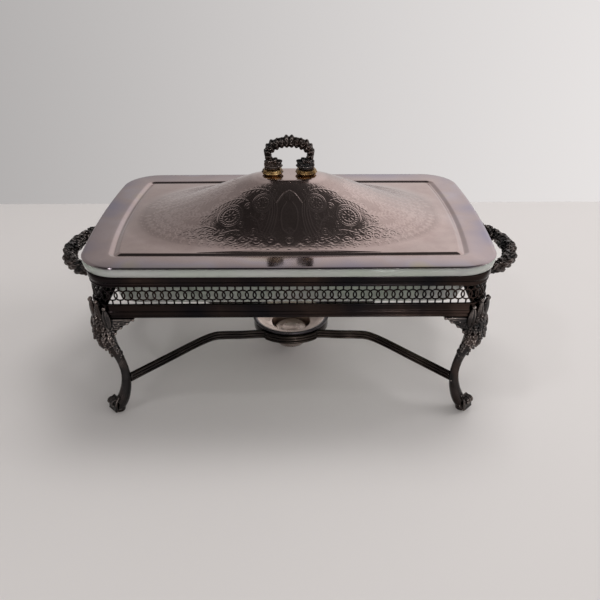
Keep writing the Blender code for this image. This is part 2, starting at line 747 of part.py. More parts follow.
def legs():
    spine = leg_spine()
    bar = FOOT_RADIUS
    path = [point for point, radius in spine]
    radii = [radius / bar for point, radius in spine]
    blank = rail("leg_blank", path, DARK_SILVER, radii=radii, bar=bar, bevel_steps=1)
    foot = path[-3]
    pad_place = leg_screw_place(-1, -1)
    top = FRAME_BOTTOM - GAP
    pieces = [
        ellipsoid("leg_knee", LEG_KNEE, path[2]),
        ellipsoid("leg_toe", LEG_TOE, path[-2] + Vector((-0.0005, 0, -0.0005))),
        cylinder("leg_foot", FOOT_RADIUS, FOOT_HEIGHT, (foot.x, foot.y, 0)),
        cylinder("leg_pad", LEG_PAD_RADIUS, LEG_PAD_DEPTH + 4 * GAP, (*pad_place, top - LEG_PAD_DEPTH)),
        wing("leg_wing_front", (1, 0, 0), (-FRAME_HALF[0], -FRAME_HALF[1] + WING_INSET)),
        wing("leg_wing_end", (0, 1, 0), (-FRAME_HALF[0] + WING_INSET, -FRAME_HALF[1])),
    ]
    cut_group(blank, pieces, "UNION")
    floor = block("leg_floor", (0.1, 0.1, 0.02), (foot.x, foot.y, -0.01))
    bore = cylinder("leg_bore", HOLE_RADIUS, 2 * LEG_THREAD, (*pad_place, top - LEG_THREAD - GAP))
    middle, radius = ankle()
    pin = middle + STRAP_SEAT * (radius + GAP - RIVET_DEPTH)
    pin_hole = cylinder("leg_rivet_hole", HOLE_RADIUS, 3 * RIVET_DEPTH, pin, facing(STRAP_SEAT))
    cut_group(blank, [frame_clearance(), floor, bore, pin_hole])
    mesh = baked(blank, weld=1e-8)
    mesh.materials.clear()
    mesh.materials.append(DARK_SILVER)
    bpy.data.objects.remove(blank, do_unlink=True)
    for x, y, label in corner_signs():
        leg = add(f"leg_{label}", mesh, None)
        leg.scale = (-x, -y, 1)
        smooth(leg)
        seat = (*leg_screw_place(x, y), FRAME_BOTTOM + LEDGE_THICKNESS + GAP)
        screw(f"leg_screw_{label}", seat, (0, 0, -1), LEDGE_THICKNESS + LEG_THREAD)


def frame_clearance():
    """The space that the frame's outer surface needs, from its underside up."""
    line = [(p.x, p.y) for p in frame_path(RIM_PROUD + GAP, 0)]
    tall = 2 * (FRAME_TOP - FRAME_BOTTOM)
    room = plate("frame_room", line, tall)
    room.location = (0, 0, FRAME_BOTTOM - GAP + tall / 2)
    return room


# ---------------------------------------------------------------- stretchers
def stretcher_half():
    """From the tab on the front left ankle to the middle of the arc round the burner."""
    middle, radius = ankle()
    flat = middle + STRAP_SEAT * (radius + 2 * GAP + STRAP_RIDGE + STRAP_THICKNESS / 2)
    along = Vector((-STRAP_SEAT.y, STRAP_SEAT.x, 0))
    tab_end = flat + along * STRAP_TAB[0]
    tab_start = flat - along * STRAP_TAB[1]
    turn = tab_start + (STRAP_SEAT - along) * STRAP_THICKNESS / 2
    bend = Vector((-STRAP_ARC * 2.05, -STRAP_ARC * 0.88, STRAP_LEVEL))
    start = turn + STRAP_SEAT * STRAP_THICKNESS
    run = [start + (bend - start) * share for share in (0.0, 0.45, 0.86)]
    sweep = [
        bend + Vector((0.0060, 0.0024, 0)),
        Vector((-STRAP_ARC * 1.62, -STRAP_ARC * 0.77, STRAP_LEVEL)),
        Vector((-STRAP_ARC * 1.25, -STRAP_ARC * 0.76, STRAP_LEVEL)),
    ]
    arc = []
    for degrees in (218, 228, 238, 248, 259, 270):
        angle = math.radians(degrees)
        arc.append(Vector((STRAP_ARC * math.cos(angle), STRAP_ARC * math.sin(angle), STRAP_LEVEL)))
    arc[-1].x = 0.0
    bent = smooth_path(sweep + arc[1:2], 2)
    return [tab_end, tab_start, turn] + run + bent[:-1] + arc[1:]


def stretchers():
    """Two reeded straps on edge. The section's reeds face away from the burner."""
    half, tall, ridge = STRAP_THICKNESS / 2, STRAP_HEIGHT / 2, STRAP_RIDGE
    section = [(-half, -tall), (half, -tall)]
    for reed in (-1, 0, 1):
        middle = reed * tall * 2 / 3
        section.append((half + ridge, middle))
        section.append((half, middle + tall / 3))
    section.append((-half, tall))
    middle, radius = ankle()
    seat = middle + STRAP_SEAT * (radius + 3 * GAP + STRAP_THICKNESS + STRAP_RIDGE)
    for y, label in ((-1, "front"), (1, "back")):
        path = [Vector((p.x, -y * p.y, p.z)) for p in mirrored(stretcher_half())]
        if y > 0:
            path.reverse()
        strap = rail(f"stretcher_{label}", path, DARK_SILVER, section=section)
        for x, side in ((-1, "left"), (1, "right")):
            inward = Vector((-x * STRAP_SEAT.x, -y * STRAP_SEAT.y, 0))
            place = Vector((-x * seat.x, -y * seat.y, seat.z))
            name = f"{label}_{side}"
            deep = 4 * STRAP_THICKNESS
            start = place - inward * deep
            cut(strap, cylinder(f"strap_hole_{name}", HOLE_RADIUS, 2 * deep, start, facing(inward)))
            length = STRAP_THICKNESS + STRAP_RIDGE + RIVET_DEPTH
            screw(f"stretcher_rivet_{name}", place, -inward, length)


# ---------------------------------------------------------------- burner
def burner():
    wall = HOLDER_WALL
    holder = [
        (HOLDER_RADIUS - wall, STRAP_TOP),
        (HOLDER_RADIUS, STRAP_TOP),
        (HOLDER_RADIUS, STRAP_BOTTOM),
        (HOLDER_RADIUS - wall, STRAP_BOTTOM),
        (HOLDER_RADIUS - wall, STRAP_TOP),
    ]
    turned("burner_holder", holder, DARK_SILVER, steps=28)
    lip = HOLDER_RADIUS - wall - 2 * GAP
    well, sheet = PAN_WELL_RADIUS, PAN_SHEET
    outside = [
        (PAN_RIM_RADIUS, PAN_RIM_TOP),
        (PAN_RIM_RADIUS, PAN_RIM_BOTTOM),
        (lip, PAN_RIM_BOTTOM),
        (well, WELL_MOUTH - sheet),
        (well * 0.96, WELL_MOUTH - 0.008),
        (well * 0.87, PAN_BOTTOM + 0.0055),
        (well * 0.72, PAN_BOTTOM + 0.0010),
        (well * 0.50, PAN_BOTTOM),
        (0, PAN_BOTTOM),
    ]
    inside = [
        (0, PAN_BOTTOM + sheet),
        (well * 0.50, PAN_BOTTOM + sheet),
        (well * 0.72 - sheet * 0.7, PAN_BOTTOM + 0.0010 + sheet),
        (well * 0.87 - sheet, PAN_BOTTOM + 0.0055 + sheet * 0.6),
        (well * 0.96 - sheet, WELL_MOUTH - 0.008),
        (well - sheet, WELL_MOUTH),
        (lip - sheet * 0.5, PAN_RIM_TOP - sheet * 0.6),
        (lip + sheet, PAN_RIM_TOP),
        (PAN_RIM_RADIUS, PAN_RIM_TOP),
    ]
    shift = (0, 0, PAN_RIM_BOTTOM)
    pan = [(radius, height - PAN_RIM_BOTTOM) for radius, height in outside + inside]
    turned("burner_pan", pan, CUP_METAL, shift, steps=28)
    cup = [
        (CUP_RADIUS, CUP_HEIGHT),
        (CUP_RADIUS * 0.97, 0.0050),
        (CUP_RADIUS * 0.80, 0.0012),
        (CUP_RADIUS * 0.60, 0),
        (0, 0),
        (0, sheet),
        (CUP_RADIUS * 0.60, sheet),
        (CUP_RADIUS * 0.80 - sheet * 0.5, 0.0012 + sheet),
        (CUP_RADIUS * 0.97 - sheet, 0.0052),
        (CUP_RADIUS - sheet, CUP_HEIGHT),
        (CUP_RADIUS, CUP_HEIGHT),
    ]
    turned("fuel_cup", cup, CUP_METAL, (0, 0, CUP_BOTTOM), steps=20)
    plug = CUP_RADIUS - sheet - 2 * GAP
    cap = [
        (0, CAP_HEIGHT),
        (CUP_RADIUS * 0.86, CAP_HEIGHT),
        (CUP_RADIUS, CAP_HEIGHT * 0.6),
        (CUP_RADIUS, 0),
        (plug, 0),
        (plug, -CAP_PLUG),
        (plug - sheet, -CAP_PLUG),
        (plug - sheet, 0),
        (0, 0),
    ]
    turned("fuel_cup_cap", cap, CUP_METAL, (0, 0, CAP_BOTTOM), steps=20)


# ---------------------------------------------------------------- end handles
def end_handles():
    wall = FRAME_HALF[0]
    foot_x = wall + 0.3 * RIM_PROUD + GAP
    half_span = END_HANDLE_SPAN / 2
    reach = END_HANDLE_REACH - END_HANDLE_BAR
    level = END_HANDLE_HEIGHT
    half = [
        Vector((foot_x + END_PAD[0] * 0.6, -half_span, level)),
        Vector((foot_x + reach * 0.30, -half_span * 1.04, level)),
        Vector((foot_x + reach * 0.62, -half_span * 0.86, level)),
        Vector((foot_x + reach * 0.88, -half_span * 0.54, level)),
        Vector((wall + reach * 0.985, -half_span * 0.20, level)),
        Vector((wall + reach, 0, level)),
    ]
    quarter = smooth_path(half, 3)
    loop = quarter + [Vector((p.x, -p.y, p.z)) for p in reversed(quarter[:-1])]
    count = len(loop)
    for label, x in (("left", -1), ("right", 1)):
        path = [Vector((x * p.x, p.y, p.z)) for p in loop]
        radii = [0.78 + 0.22 * math.sin(math.pi * i / (count - 1)) for i in range(count)]
        made = rail(f"end_handle_{label}", path, DARK_SILVER, radii=radii, bar=END_HANDLE_BAR)
        for y, side in ((-1, "front"), (1, "back")):
            low = end_screw_level() - END_PAD_DROP
            tall = level - low
            centre = (x * (foot_x + END_PAD[0] / 2), y * half_span, low + tall / 2)
            pad = block(f"pad_{side}_{label}", (END_PAD[0], END_PAD[1], tall), centre)
            start = (x * (foot_x - END_THREAD), y * half_span, end_screw_level())
            deep = 2 * END_THREAD + GAP
            bore = cylinder(f"pad_bore_{side}_{label}", HOLE_RADIUS, deep, start, facing((x, 0, 0)))
            cut(made, pad, "UNION")
            cut(made, bore)
            seat = (x * (wall - RIM_WALL - GAP), y * half_span, end_screw_level())
            name = f"end_handle_screw_{side}_{label}"
            screw(name, seat, (x, 0, 0), foot_x + END_THREAD - abs(seat[0]))


lid_cover()
lid_handle()
lid_fittings()
glass_dish()
rims()
galleries()
legs()
stretchers()
burner()
end_handles()
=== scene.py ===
"""The looks of the buffet server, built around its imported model: a chased lid, a pierced gallery of
interlaced rings, cast handles and legs, a glass dish and a spirit burner, in tarnished plate."""

import math

import bmesh
import bpy
import numpy as np
from mathutils import Matrix, Vector


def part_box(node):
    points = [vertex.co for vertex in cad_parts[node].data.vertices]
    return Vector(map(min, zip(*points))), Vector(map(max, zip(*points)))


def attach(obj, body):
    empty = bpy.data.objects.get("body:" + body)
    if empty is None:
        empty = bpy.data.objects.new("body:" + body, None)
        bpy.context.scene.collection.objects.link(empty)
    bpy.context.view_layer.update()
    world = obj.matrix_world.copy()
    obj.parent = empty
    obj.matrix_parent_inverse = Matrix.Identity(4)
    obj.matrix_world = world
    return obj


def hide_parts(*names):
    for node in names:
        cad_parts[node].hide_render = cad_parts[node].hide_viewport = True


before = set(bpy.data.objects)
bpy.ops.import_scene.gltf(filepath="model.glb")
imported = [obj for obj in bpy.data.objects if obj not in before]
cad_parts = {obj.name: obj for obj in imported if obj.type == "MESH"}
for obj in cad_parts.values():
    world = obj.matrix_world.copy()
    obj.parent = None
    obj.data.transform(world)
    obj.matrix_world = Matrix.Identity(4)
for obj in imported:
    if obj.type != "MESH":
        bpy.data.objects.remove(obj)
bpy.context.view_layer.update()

MM = 0.001

# ---------------------------------------------------------------- places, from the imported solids
RIM_LOW, RIM_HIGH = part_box("lower_rim")
TOP_LOW, TOP_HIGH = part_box("upper_rim")
WALL_LOW, WALL_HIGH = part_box("gallery_left")[0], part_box("gallery_right")[1]
LID_LOW, LID_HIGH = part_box("lid_cover")
DISH_LOW, DISH_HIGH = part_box("glass_dish")
PAN_LOW, PAN_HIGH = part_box("burner_pan")
CUP_LOW, CUP_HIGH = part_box("fuel_cup")
CAP_LOW, CAP_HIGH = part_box("fuel_cup_cap")
HOLDER_LOW, HOLDER_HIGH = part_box("burner_holder")
STRAP_LOW, STRAP_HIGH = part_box("stretcher_front")
HANDLE_LOW, HANDLE_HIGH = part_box("lid_handle")
COLLAR_LOW, COLLAR_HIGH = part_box("lid_handle_collar_right")
LOOP_LOW, LOOP_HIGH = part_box("end_handle_right")

WALL = Vector((WALL_HIGH.x, WALL_HIGH.y))  # half length and half depth over the gallery
WALL_CORNER = 0.0230
RIM_PROUD = 0.0020
GAP = 0.0003
SIDE_STEP = 0.0100  # between points on the frame's straight runs
FRAME_BOTTOM = RIM_LOW.z
LID_SHEET = 0.0012
LID_RIM = LID_LOW.z + 0.0030
LID_EDGE = 0.0013  # the rolled edge that shows under the rim
LID_BOW = Vector((0.0070, 0.0010))
LID_HALF = Vector((LID_HIGH.x, LID_HIGH.y)) - LID_BOW
LID_CORNER = 0.0340
GROOVE_INSET = 0.0230
GROOVE_WIDTH = 0.0090
GROOVE_DEPTH = 0.0018
DOME_HALF = Vector((LID_HALF.x - 0.0308, LID_HALF.y - 0.0250))
DOME_HEIGHT = 0.0465
DOME_FLAT = LID_HIGH.z - LID_RIM
HANDLE_SPREAD = (COLLAR_LOW.x + COLLAR_HIGH.x) / 2
FRONT_SHADE_REACH = 0.0170  # how far back the painted shade on the front rim reaches
# how high from the burner's bottom its darker colour reaches
LOW_DARKENING_HEIGHT = 0.0200
PAN_LIP = 0.0050

# the groove pressed round the lid's panel: share of its width, share of its depth
GROOVE_SECTION = (
    (0.04, 0.02), (0.10, 0.12), (0.18, 0.30), (0.27, 0.52), (0.36, 0.73), (0.44, 0.92), (0.50, 1.00),
    (0.56, 0.95), (0.64, 0.77), (0.73, 0.54), (0.82, 0.31), (0.90, 0.12), (0.96, 0.02), (1.00, 0.0),
)
DOME_POWER = 2.3  # its foot is between an ellipse and a rectangle
DOME_RINGS = 300

# the chasing's oval, in millimetres, and the share of it that stays plain round the handle
OVAL_X, OVAL_Y = 153.0, 92.0
OVAL_POWER = 2.4
OVAL_PLAIN = 0.235

RING_RADIUS = 0.00488
RING_BAND = 0.00076  # half the width of a ring's wire
RING_PITCH = 0.00705

STRAP_HALF = 0.0012  # half a strap's thickness

DISH_WALL = 0.0040
DISH_TAPER = 0.0120  # from the mouth to the floor
DISH_CLIMB = 0.0330  # of the sloping wall
DISH_CORNER = 0.0185

CORNERS = {(-1, -1): "front_left", (1, -1): "front_right", (-1, 1): "back_left", (1, 1): "back_right"}

LEG_CORNER = np.array((-WALL.x, -WALL.y, 0.0))
LEG_OUT = np.array((-0.72, -0.69, 0.0))

# the straps' tabs face inwards at the ankles
TAB_NORMAL = Vector((0.83, 0.557)).normalized()


# ---------------------------------------------------------------- materials
class Finish:
    """A material's node tree, with short calls for the nodes that these finishes share."""

    def __init__(self, name):
        self.material = bpy.data.materials.new(name)
        self.material.use_nodes = True
        self.tree = self.material.node_tree
        self.shader = self.tree.nodes["Principled BSDF"]
        self.place = self.node("ShaderNodeTexCoord").outputs["Object"]

    def node(self, kind, **values):
        made = self.tree.nodes.new(kind)
        for key, value in values.items():
            if hasattr(made, key):
                setattr(made, key, value)
            else:
                made.inputs[key.replace("_", " ")].default_value = value
        return made

    def link(self, source, target):
        self.tree.links.new(source, target)

    def noise(self, scale, detail=3.0, stretch=None):
        spot = self.place
        if stretch:
            mapping = self.node("ShaderNodeMapping")
            mapping.inputs["Scale"].default_value = stretch
            self.link(self.place, mapping.inputs["Vector"])
            spot = mapping.outputs["Vector"]
        made = self.node("ShaderNodeTexNoise", Scale=scale, Detail=detail, Roughness=0.55)
        self.link(spot, made.inputs["Vector"])
        return made.outputs["Fac"]

    def feed(self, socket, value):
        """Give a socket a link, a colour or a number."""
        if isinstance(value, bpy.types.NodeSocket):
            self.link(value, socket)
        elif isinstance(value, tuple):
            socket.default_value = (*value, 1.0)
        else:
            socket.default_value = value

    def ramp(self, source, *stops):
        made = self.node("ShaderNodeValToRGB")
        elements = made.color_ramp.elements
        while len(elements) < len(stops):
            elements.new(0.5)
        for element, (at, colour) in zip(elements, stops):
            element.position = at
            element.color = (*colour, 1.0)
        self.link(source, made.inputs["Fac"])
        return made.outputs["Color"]

    def mix(self, share, first, second):
        made = self.node("ShaderNodeMix", data_type="RGBA", blend_type="MIX")
        for value, socket in ((share, made.inputs[0]), (first, made.inputs[6]), (second, made.inputs[7])):
            self.feed(socket, value)
        return made.outputs[2]

    def span(self, source, low, high, out_low=0.0, out_high=1.0):
        made = self.node("ShaderNodeMapRange", From_Min=low, From_Max=high, To_Min=out_low, To_Max=out_high)
        self.link(source, made.inputs["Value"])
        return made.outputs["Result"]

    def maths(self, operation, first, second):
        made = self.node("ShaderNodeMath", operation=operation)
        self.feed(made.inputs[0], first)
        self.feed(made.inputs[1], second)
        return made.outputs[0]

    def axes(self):
        """The place on the piece, as three numbers."""
        parts = self.node("ShaderNodeSeparateXYZ")
        self.link(self.place, parts.inputs[0])
        return parts.outputs

    def attribute(self, name):
        return self.node("ShaderNodeAttribute", attribute_name=name).outputs["Fac"]

    def bump(self, source, strength, distance):
        made = self.node("ShaderNodeBump", Strength=strength, Distance=distance)
        self.link(source, made.inputs["Height"])
        self.link(made.outputs["Normal"], self.shader.inputs["Normal"])

    def set(self, **values):
        for key, value in values.items():
            self.feed(self.shader.inputs[key.replace("_", " ")], value)


def chased_plate():
    """The lid: brown-grey tarnished plate, dark in the chasing, with violet and straw bloom at its edge and
    painted shade along its front rim.
    """
    made = Finish("chased_plate")
    cloud = made.noise(9.0, 4.0)
    fine = made.noise(90.0, 5.0)
    base = made.ramp(cloud, (0.30, (0.44, 0.335, 0.315)), (0.70, (0.60, 0.495, 0.475)))
    base = made.mix(made.span(fine, 0.35, 0.75, 0.0, 0.30), base, (0.66, 0.54, 0.49))
    bloom = made.ramp(
        made.noise(13.0, 2.0),
        (0.34, (0.27, 0.25, 0.34)),
        (0.48, (0.38, 0.31, 0.32)),
        (0.58, (0.40, 0.37, 0.44)),
        (0.70, (0.50, 0.46, 0.30)),
    )
    base = made.mix(made.maths("MULTIPLY", made.attribute("edge"), 0.85), base, bloom)
    # painted shade: the front of the rim is painted darker
    front = made.span(made.axes()["Y"], -LID_HALF.y, FRONT_SHADE_REACH - LID_HALF.y, 0.55, 0.0)
    base = made.mix(made.maths("MULTIPLY", made.attribute("edge"), front), base, (0.13, 0.11, 0.12))
    worked = made.attribute("worked")
    hollow = made.span(made.attribute("relief"), 0.0, 0.12, 0.30, 0.0)
    base = made.mix(made.maths("MULTIPLY", worked, hollow), base, (0.14, 0.095, 0.085))
    rough = made.span(made.noise(34.0, 4.0), 0.3, 0.7, 0.07, 0.15)
    rough = made.maths("ADD", rough, made.maths("MULTIPLY", worked, 0.03))
    scratches = made.noise(700.0, 2.0, (1, 0.12, 1))
    made.set(Base_Color=base, Metallic=1.0, Roughness=rough)
    made.bump(scratches, 0.04, 0.0002)
    return made.material


def dark_plate(name, low, middle, high):
    """Drawn and wire work: brown tarnish, near black, rubbed to metal here and there."""
    made = Finish(name)
    base = made.ramp(made.noise(22.0, 4.0), (0.34, low), (0.56, middle), (0.74, high))
    tint = made.ramp(made.noise(11.0, 2.0), (0.42, (0.018, 0.018, 0.024)), (0.62, (0.044, 0.026, 0.020)))
    base = made.mix(0.25, base, tint)
    rough = made.span(made.noise(60.0, 4.0), 0.3, 0.7, 0.10, 0.24)
    made.set(Base_Color=base, Metallic=1.0, Roughness=rough)
    made.bump(made.noise(420.0, 3.0), 0.05, 0.0002)
    return made.material


def cast_plate():
    """The castings: black-green in the hollows, warm metal where hands and cloths have rubbed."""
    made = Finish("cast_plate")
    worn = made.node("ShaderNodeNewGeometry").outputs["Pointiness"]
    cloud = made.noise(60.0, 4.0)
    worn = made.maths("ADD", worn, made.span(cloud, 0.3, 0.7, -0.020, 0.020))
    base = made.ramp(
        worn,
        (0.470, (0.008, 0.008, 0.008)),
        (0.515, (0.045, 0.040, 0.040)),
        (0.540, (0.24, 0.205, 0.190)),
        (0.580, (0.80, 0.72, 0.66)),
    )
    patina = made.ramp(made.noise(35.0, 2.0), (0.45, (0.03, 0.040, 0.042)), (0.65, (0.14, 0.085, 0.06)))
    base = made.mix(0.16, base, patina)
    rough = made.span(worn, 0.46, 0.56, 0.26, 0.12)
    made.set(Base_Color=base, Metallic=1.0, Roughness=rough)
    made.bump(made.noise(330.0, 3.0), 0.45, 0.0006)
    return made.material


def rubbed_brass():
    """The collars, rubbed through the plate to yellow metal here and there."""
    made = Finish("rubbed_brass")
    worn = made.noise(140.0, 4.0)
    tarnish = ((0.36, (0.05, 0.030, 0.018)), (0.52, (0.30, 0.19, 0.08)), (0.70, (0.78, 0.57, 0.28)))
    base = made.ramp(worn, *tarnish)
    made.set(Base_Color=base, Metallic=1.0, Roughness=made.span(worn, 0.3, 0.7, 0.40, 0.20))
    made.bump(made.noise(600.0, 3.0), 0.08, 0.0002)
    return made.material


def burner_plate():
    """The burner: dull pinkish plate, stained by heat, near black round its outer rim and darker towards its
    bottom.
    """
    made = Finish("burner_plate")
    stain = made.noise(45.0, 4.0)
    tarnish = ((0.30, (0.34, 0.265, 0.235)), (0.52, (0.58, 0.48, 0.43)), (0.72, (0.74, 0.65, 0.60)))
    base = made.ramp(stain, *tarnish)
    axes = made.axes()
    squares = [made.maths("MULTIPLY", axes[axis], axes[axis]) for axis in "XY"]
    reach = made.maths("SQRT", made.maths("ADD", *squares), 0.0)
    # near black round the outer rim
    lip = made.span(reach, PAN_HIGH.x - PAN_LIP, PAN_HIGH.x - PAN_LIP * 0.72, 0.0, 0.92)
    base = made.mix(lip, base, (0.050, 0.050, 0.062))
    # darker towards the bottom
    low_darkening = made.span(axes["Z"], PAN_LOW.z, PAN_LOW.z + LOW_DARKENING_HEIGHT, 0.55, 0.0)
    base = made.mix(low_darkening, base, (0.10, 0.08, 0.075))
    made.set(Base_Color=base, Metallic=1.0, Roughness=made.span(stain, 0.3, 0.7, 0.36, 0.20))
    made.bump(made.noise(500.0, 3.0), 0.06, 0.0002)
    return made.material


def dish_glass():
    """Pressed clear glass with a faint green in its thickness."""
    made = Finish("dish_glass")
    tint = made.ramp(made.noise(12.0, 2.0), (0.35, (0.86, 0.95, 0.84)), (0.65, (0.98, 0.99, 0.975)))
    made.set(Base_Color=tint, Metallic=0.0, Roughness=0.03, IOR=1.45, Transmission_Weight=0.58, Alpha=0.90)
    made.bump(made.noise(28.0, 2.0), 0.03, 0.0010)
    return made.material


def fastener_steel():
    made = Finish("fastener_steel")
    base = made.ramp(made.noise(260.0, 4.0), (0.35, (0.10, 0.09, 0.085)), (0.65, (0.34, 0.31, 0.29)))
    made.set(Base_Color=base, Metallic=1.0, Roughness=made.span(made.noise(180.0), 0.3, 0.7, 0.28, 0.48))
    return made.material


LID_PLATE = chased_plate()
DARK = dark_plate("frame_plate", (0.008, 0.007, 0.008), (0.018, 0.014, 0.013), (0.055, 0.038, 0.032))
STRAP = dark_plate("strap_plate", (0.020, 0.018, 0.016), (0.055, 0.046, 0.040), (0.16, 0.13, 0.115))
CAST = cast_plate()
BRASS = rubbed_brass()
BURNER = burner_plate()
GLASS = dish_glass()
STEEL = fastener_steel()


# ---------------------------------------------------------------- mesh tools
def piece(name, verts, faces, finish, weld=0.0):
    """A mesh object from points and faces, facing out and shaded smooth."""
    mesh = bpy.data.meshes.new(name)
    mesh.from_pydata(np.asarray(verts, float).tolist(), [], [list(map(int, f)) for f in faces])
    if weld:
        work = bmesh.new()
        work.from_mesh(mesh)
        bmesh.ops.remove_doubles(work, verts=work.verts, dist=weld)
        bmesh.ops.recalc_face_normals(work, faces=work.faces)
        work.to_mesh(mesh)
        work.free()
    mesh.shade_smooth()
    made = bpy.data.objects.new(name, mesh)
    bpy.context.scene.collection.objects.link(made)
    mesh.materials.append(finish)
    return made


def belong(made, body, slot, *nodes):
    """The piece rides its body and stands for the nodes; its slot is not used."""
    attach(made, body)
    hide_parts(*nodes)


def grid(rows, columns, wrap_rows=False, wrap_columns=True):
    """Quads over rows x columns points, row by row."""
    r = np.arange(rows if wrap_rows else rows - 1)
    c = np.arange(columns if wrap_columns else columns - 1)
    r, c = [part.ravel() for part in np.meshgrid(r, c, indexing="ij")]
    below, beside = (r + 1) % rows, (c + 1) % columns
    return np.stack([r * columns + c, r * columns + beside, below * columns + beside, below * columns + c], 1)


def capped(rings):
    """Points and faces of a closed body through rings of equal count, its ends closed by fans."""
    rings = np.asarray(rings, float)
    rows, columns = rings.shape[:2]
    verts = np.vstack([rings.reshape(-1, 3), rings[0].mean(0), rings[-1].mean(0)])
    faces = grid(rows, columns).tolist()
    first, last, end = rows * columns, rows * columns + 1, (rows - 1) * columns
    for i in range(columns):
        j = (i + 1) % columns
        faces.append([first, j, i])
        faces.append([last, end + i, end + j])
    return verts, faces


def joined(bodies):
    """One list of points and faces from several."""
    verts, faces, start = [], [], 0
    for points, quads in bodies:
        verts.append(np.asarray(points, float))
        faces.extend([[index + start for index in quad] for quad in quads])
        start += len(points)
    return np.vstack(verts), faces


def lathe(profile, steps=96, close=True):
    """A turned body about Z from (radius, height) points; ends off the axis meet when closed."""
    profile = np.asarray(profile, float)
    angles = np.arange(steps) * 2 * math.pi / steps
    rings = np.stack(
        [
            np.outer(profile[:, 0], np.cos(angles)),
            np.outer(profile[:, 0], np.sin(angles)),
            np.repeat(profile[:, 1:2], steps, 1),
        ],
        2,
    )
    return rings.reshape(-1, 3), grid(len(profile), steps, wrap_rows=close)


def rounded(profile, radius, steps=4):
    """The corners of a closed profile eased by arcs of up to the radius."""
    points = [Vector(p) for p in profile]
    eased = []
    for before, corner, after in zip(points[-1:] + points[:-1], points, points[1:] + points[:1]):
        ins, out = before - corner, after - corner
        reach = min(radius, ins.length * 0.45, out.length * 0.45)
        start, stop = corner + ins.normalized() * reach, corner + out.normalized() * reach
        for step in range(steps + 1):
            t = step / steps
            eased.append(start * (1 - t) ** 2 + corner * 2 * t * (1 - t) + stop * t**2)
    return eased


def through(points, steps):
    """A smooth curve through the points, as rows of numbers of any width."""
    points = np.asarray(points, float)
    ends = np.vstack([2 * points[0] - points[1], points, 2 * points[-1] - points[-2]])
    rows = []
    for before, start, stop, after in zip(ends, ends[1:], ends[2:], ends[3:]):
        for t in np.arange(steps) / steps:
            rows.append(
                0.5
                * (
                    2 * start
                    + (stop - before) * t
                    + (2 * before - 5 * start + 4 * stop - after) * t**2
                    + (3 * start - before - 3 * stop + after) * t**3
                )
            )
    rows.append(points[-1])
    return np.array(rows)


def tube(path, radii, sides=12, flat=1.0, across=None):
    """A closed round bar along the path. flat squeezes it along its second direction."""
    path = np.asarray(path, float)
    radii = np.broadcast_to(np.asarray(radii, float), (len(path),))
    tangents = np.gradient(path, axis=0)
    tangents /= np.linalg.norm(tangents, axis=1)[:, None]
    side = np.array(across if across is not None else (0.0, 0.0, 1.0))
    if abs(tangents[0] @ side) > 0.95:
        side = np.array((1.0, 0.0, 0.0))
    angles = np.arange(sides) * 2 * math.pi / sides
    rings = []
    for point, tangent, radius in zip(path, tangents, radii):
        side = side - tangent * (side @ tangent)
        side /= np.linalg.norm(side)
        other = np.cross(tangent, side)
        rings.append(
            point + radius * (np.outer(np.cos(angles) * flat, side) + np.outer(np.sin(angles), other))
        )
    return capped(rings)


def ball(centre, radii, segments=16, rings=10):
    """An ellipsoid."""
    radii = np.broadcast_to(np.asarray(radii, float), (3,))
    down = np.linspace(0.04, math.pi - 0.04, rings)
    round_ = np.arange(segments) * 2 * math.pi / segments
    shape = np.stack(
        [
            np.outer(np.sin(down), np.cos(round_)),
            np.outer(np.sin(down), np.sin(round_)),
            np.repeat(np.cos(down)[:, None], segments, 1),
        ],
        2,
    )
    return capped(np.asarray(centre, float) + shape * radii)


def lobe(base, tip, face, width, thick, lift=0.0, vein=0.35, blunt=0.75):
    """A cast leaf lobe from base to tip: pointed at its base, full near its tip, veined on its face."""
    base, tip, face = (np.asarray(v, float) for v in (base, tip, face))
    along = tip - base
    length = np.linalg.norm(along)
    along = along / length
    face = face - along * (face @ along)
    face /= np.linalg.norm(face)
    across = np.cross(face, along)
    shares = np.linspace(0.02, 0.99, 14)
    angles = np.arange(16) * 2 * math.pi / 16
    rings = []
    for share in shares:
        half = width / 2 * math.sin(math.pi * share**blunt) ** 0.65 + width * 0.02
        rise = thick / 2 * math.sin(math.pi * share**0.8) ** 0.5 + thick * 0.05
        spot = base + along * length * share + face * lift * math.sin(math.pi * share * 0.5) ** 2
        groove = 1 - vein * np.exp(-((np.cos(angles) / 0.25) ** 2)) * (np.sin(angles) > 0)
        rings.append(
            spot + np.outer(np.cos(angles) * half, across) + np.outer(np.sin(angles) * rise * groove, face)
        )
    return capped(rings)


def curl(centre, normal, start, radius, turns, wire, rise=0.0, flip=1):
    """A volute: a bar wound in from the start direction to its eye, which stands up by rise."""
    centre, normal, start = (np.asarray(v, float) for v in (centre, normal, start))
    normal = normal / np.linalg.norm(normal)
    start = start - normal * (start @ normal)
    start /= np.linalg.norm(start)
    other = np.cross(normal, start) * flip
    t = np.linspace(0, 1, int(22 * turns) + 4)
    angle = 2 * math.pi * turns * t
    reach = radius * (1 - t) ** 0.8 + wire * 0.3
    path = (
        centre
        + np.outer(np.cos(angle) * reach, start)
        + np.outer(np.sin(angle) * reach, other)
        + np.outer(rise * t, normal)
    )
    coil = tube(path, wire * (1 - 0.35 * t), 10, across=normal)
    return joined([coil, ball(path[-1], wire * 1.25, 12, 8)])


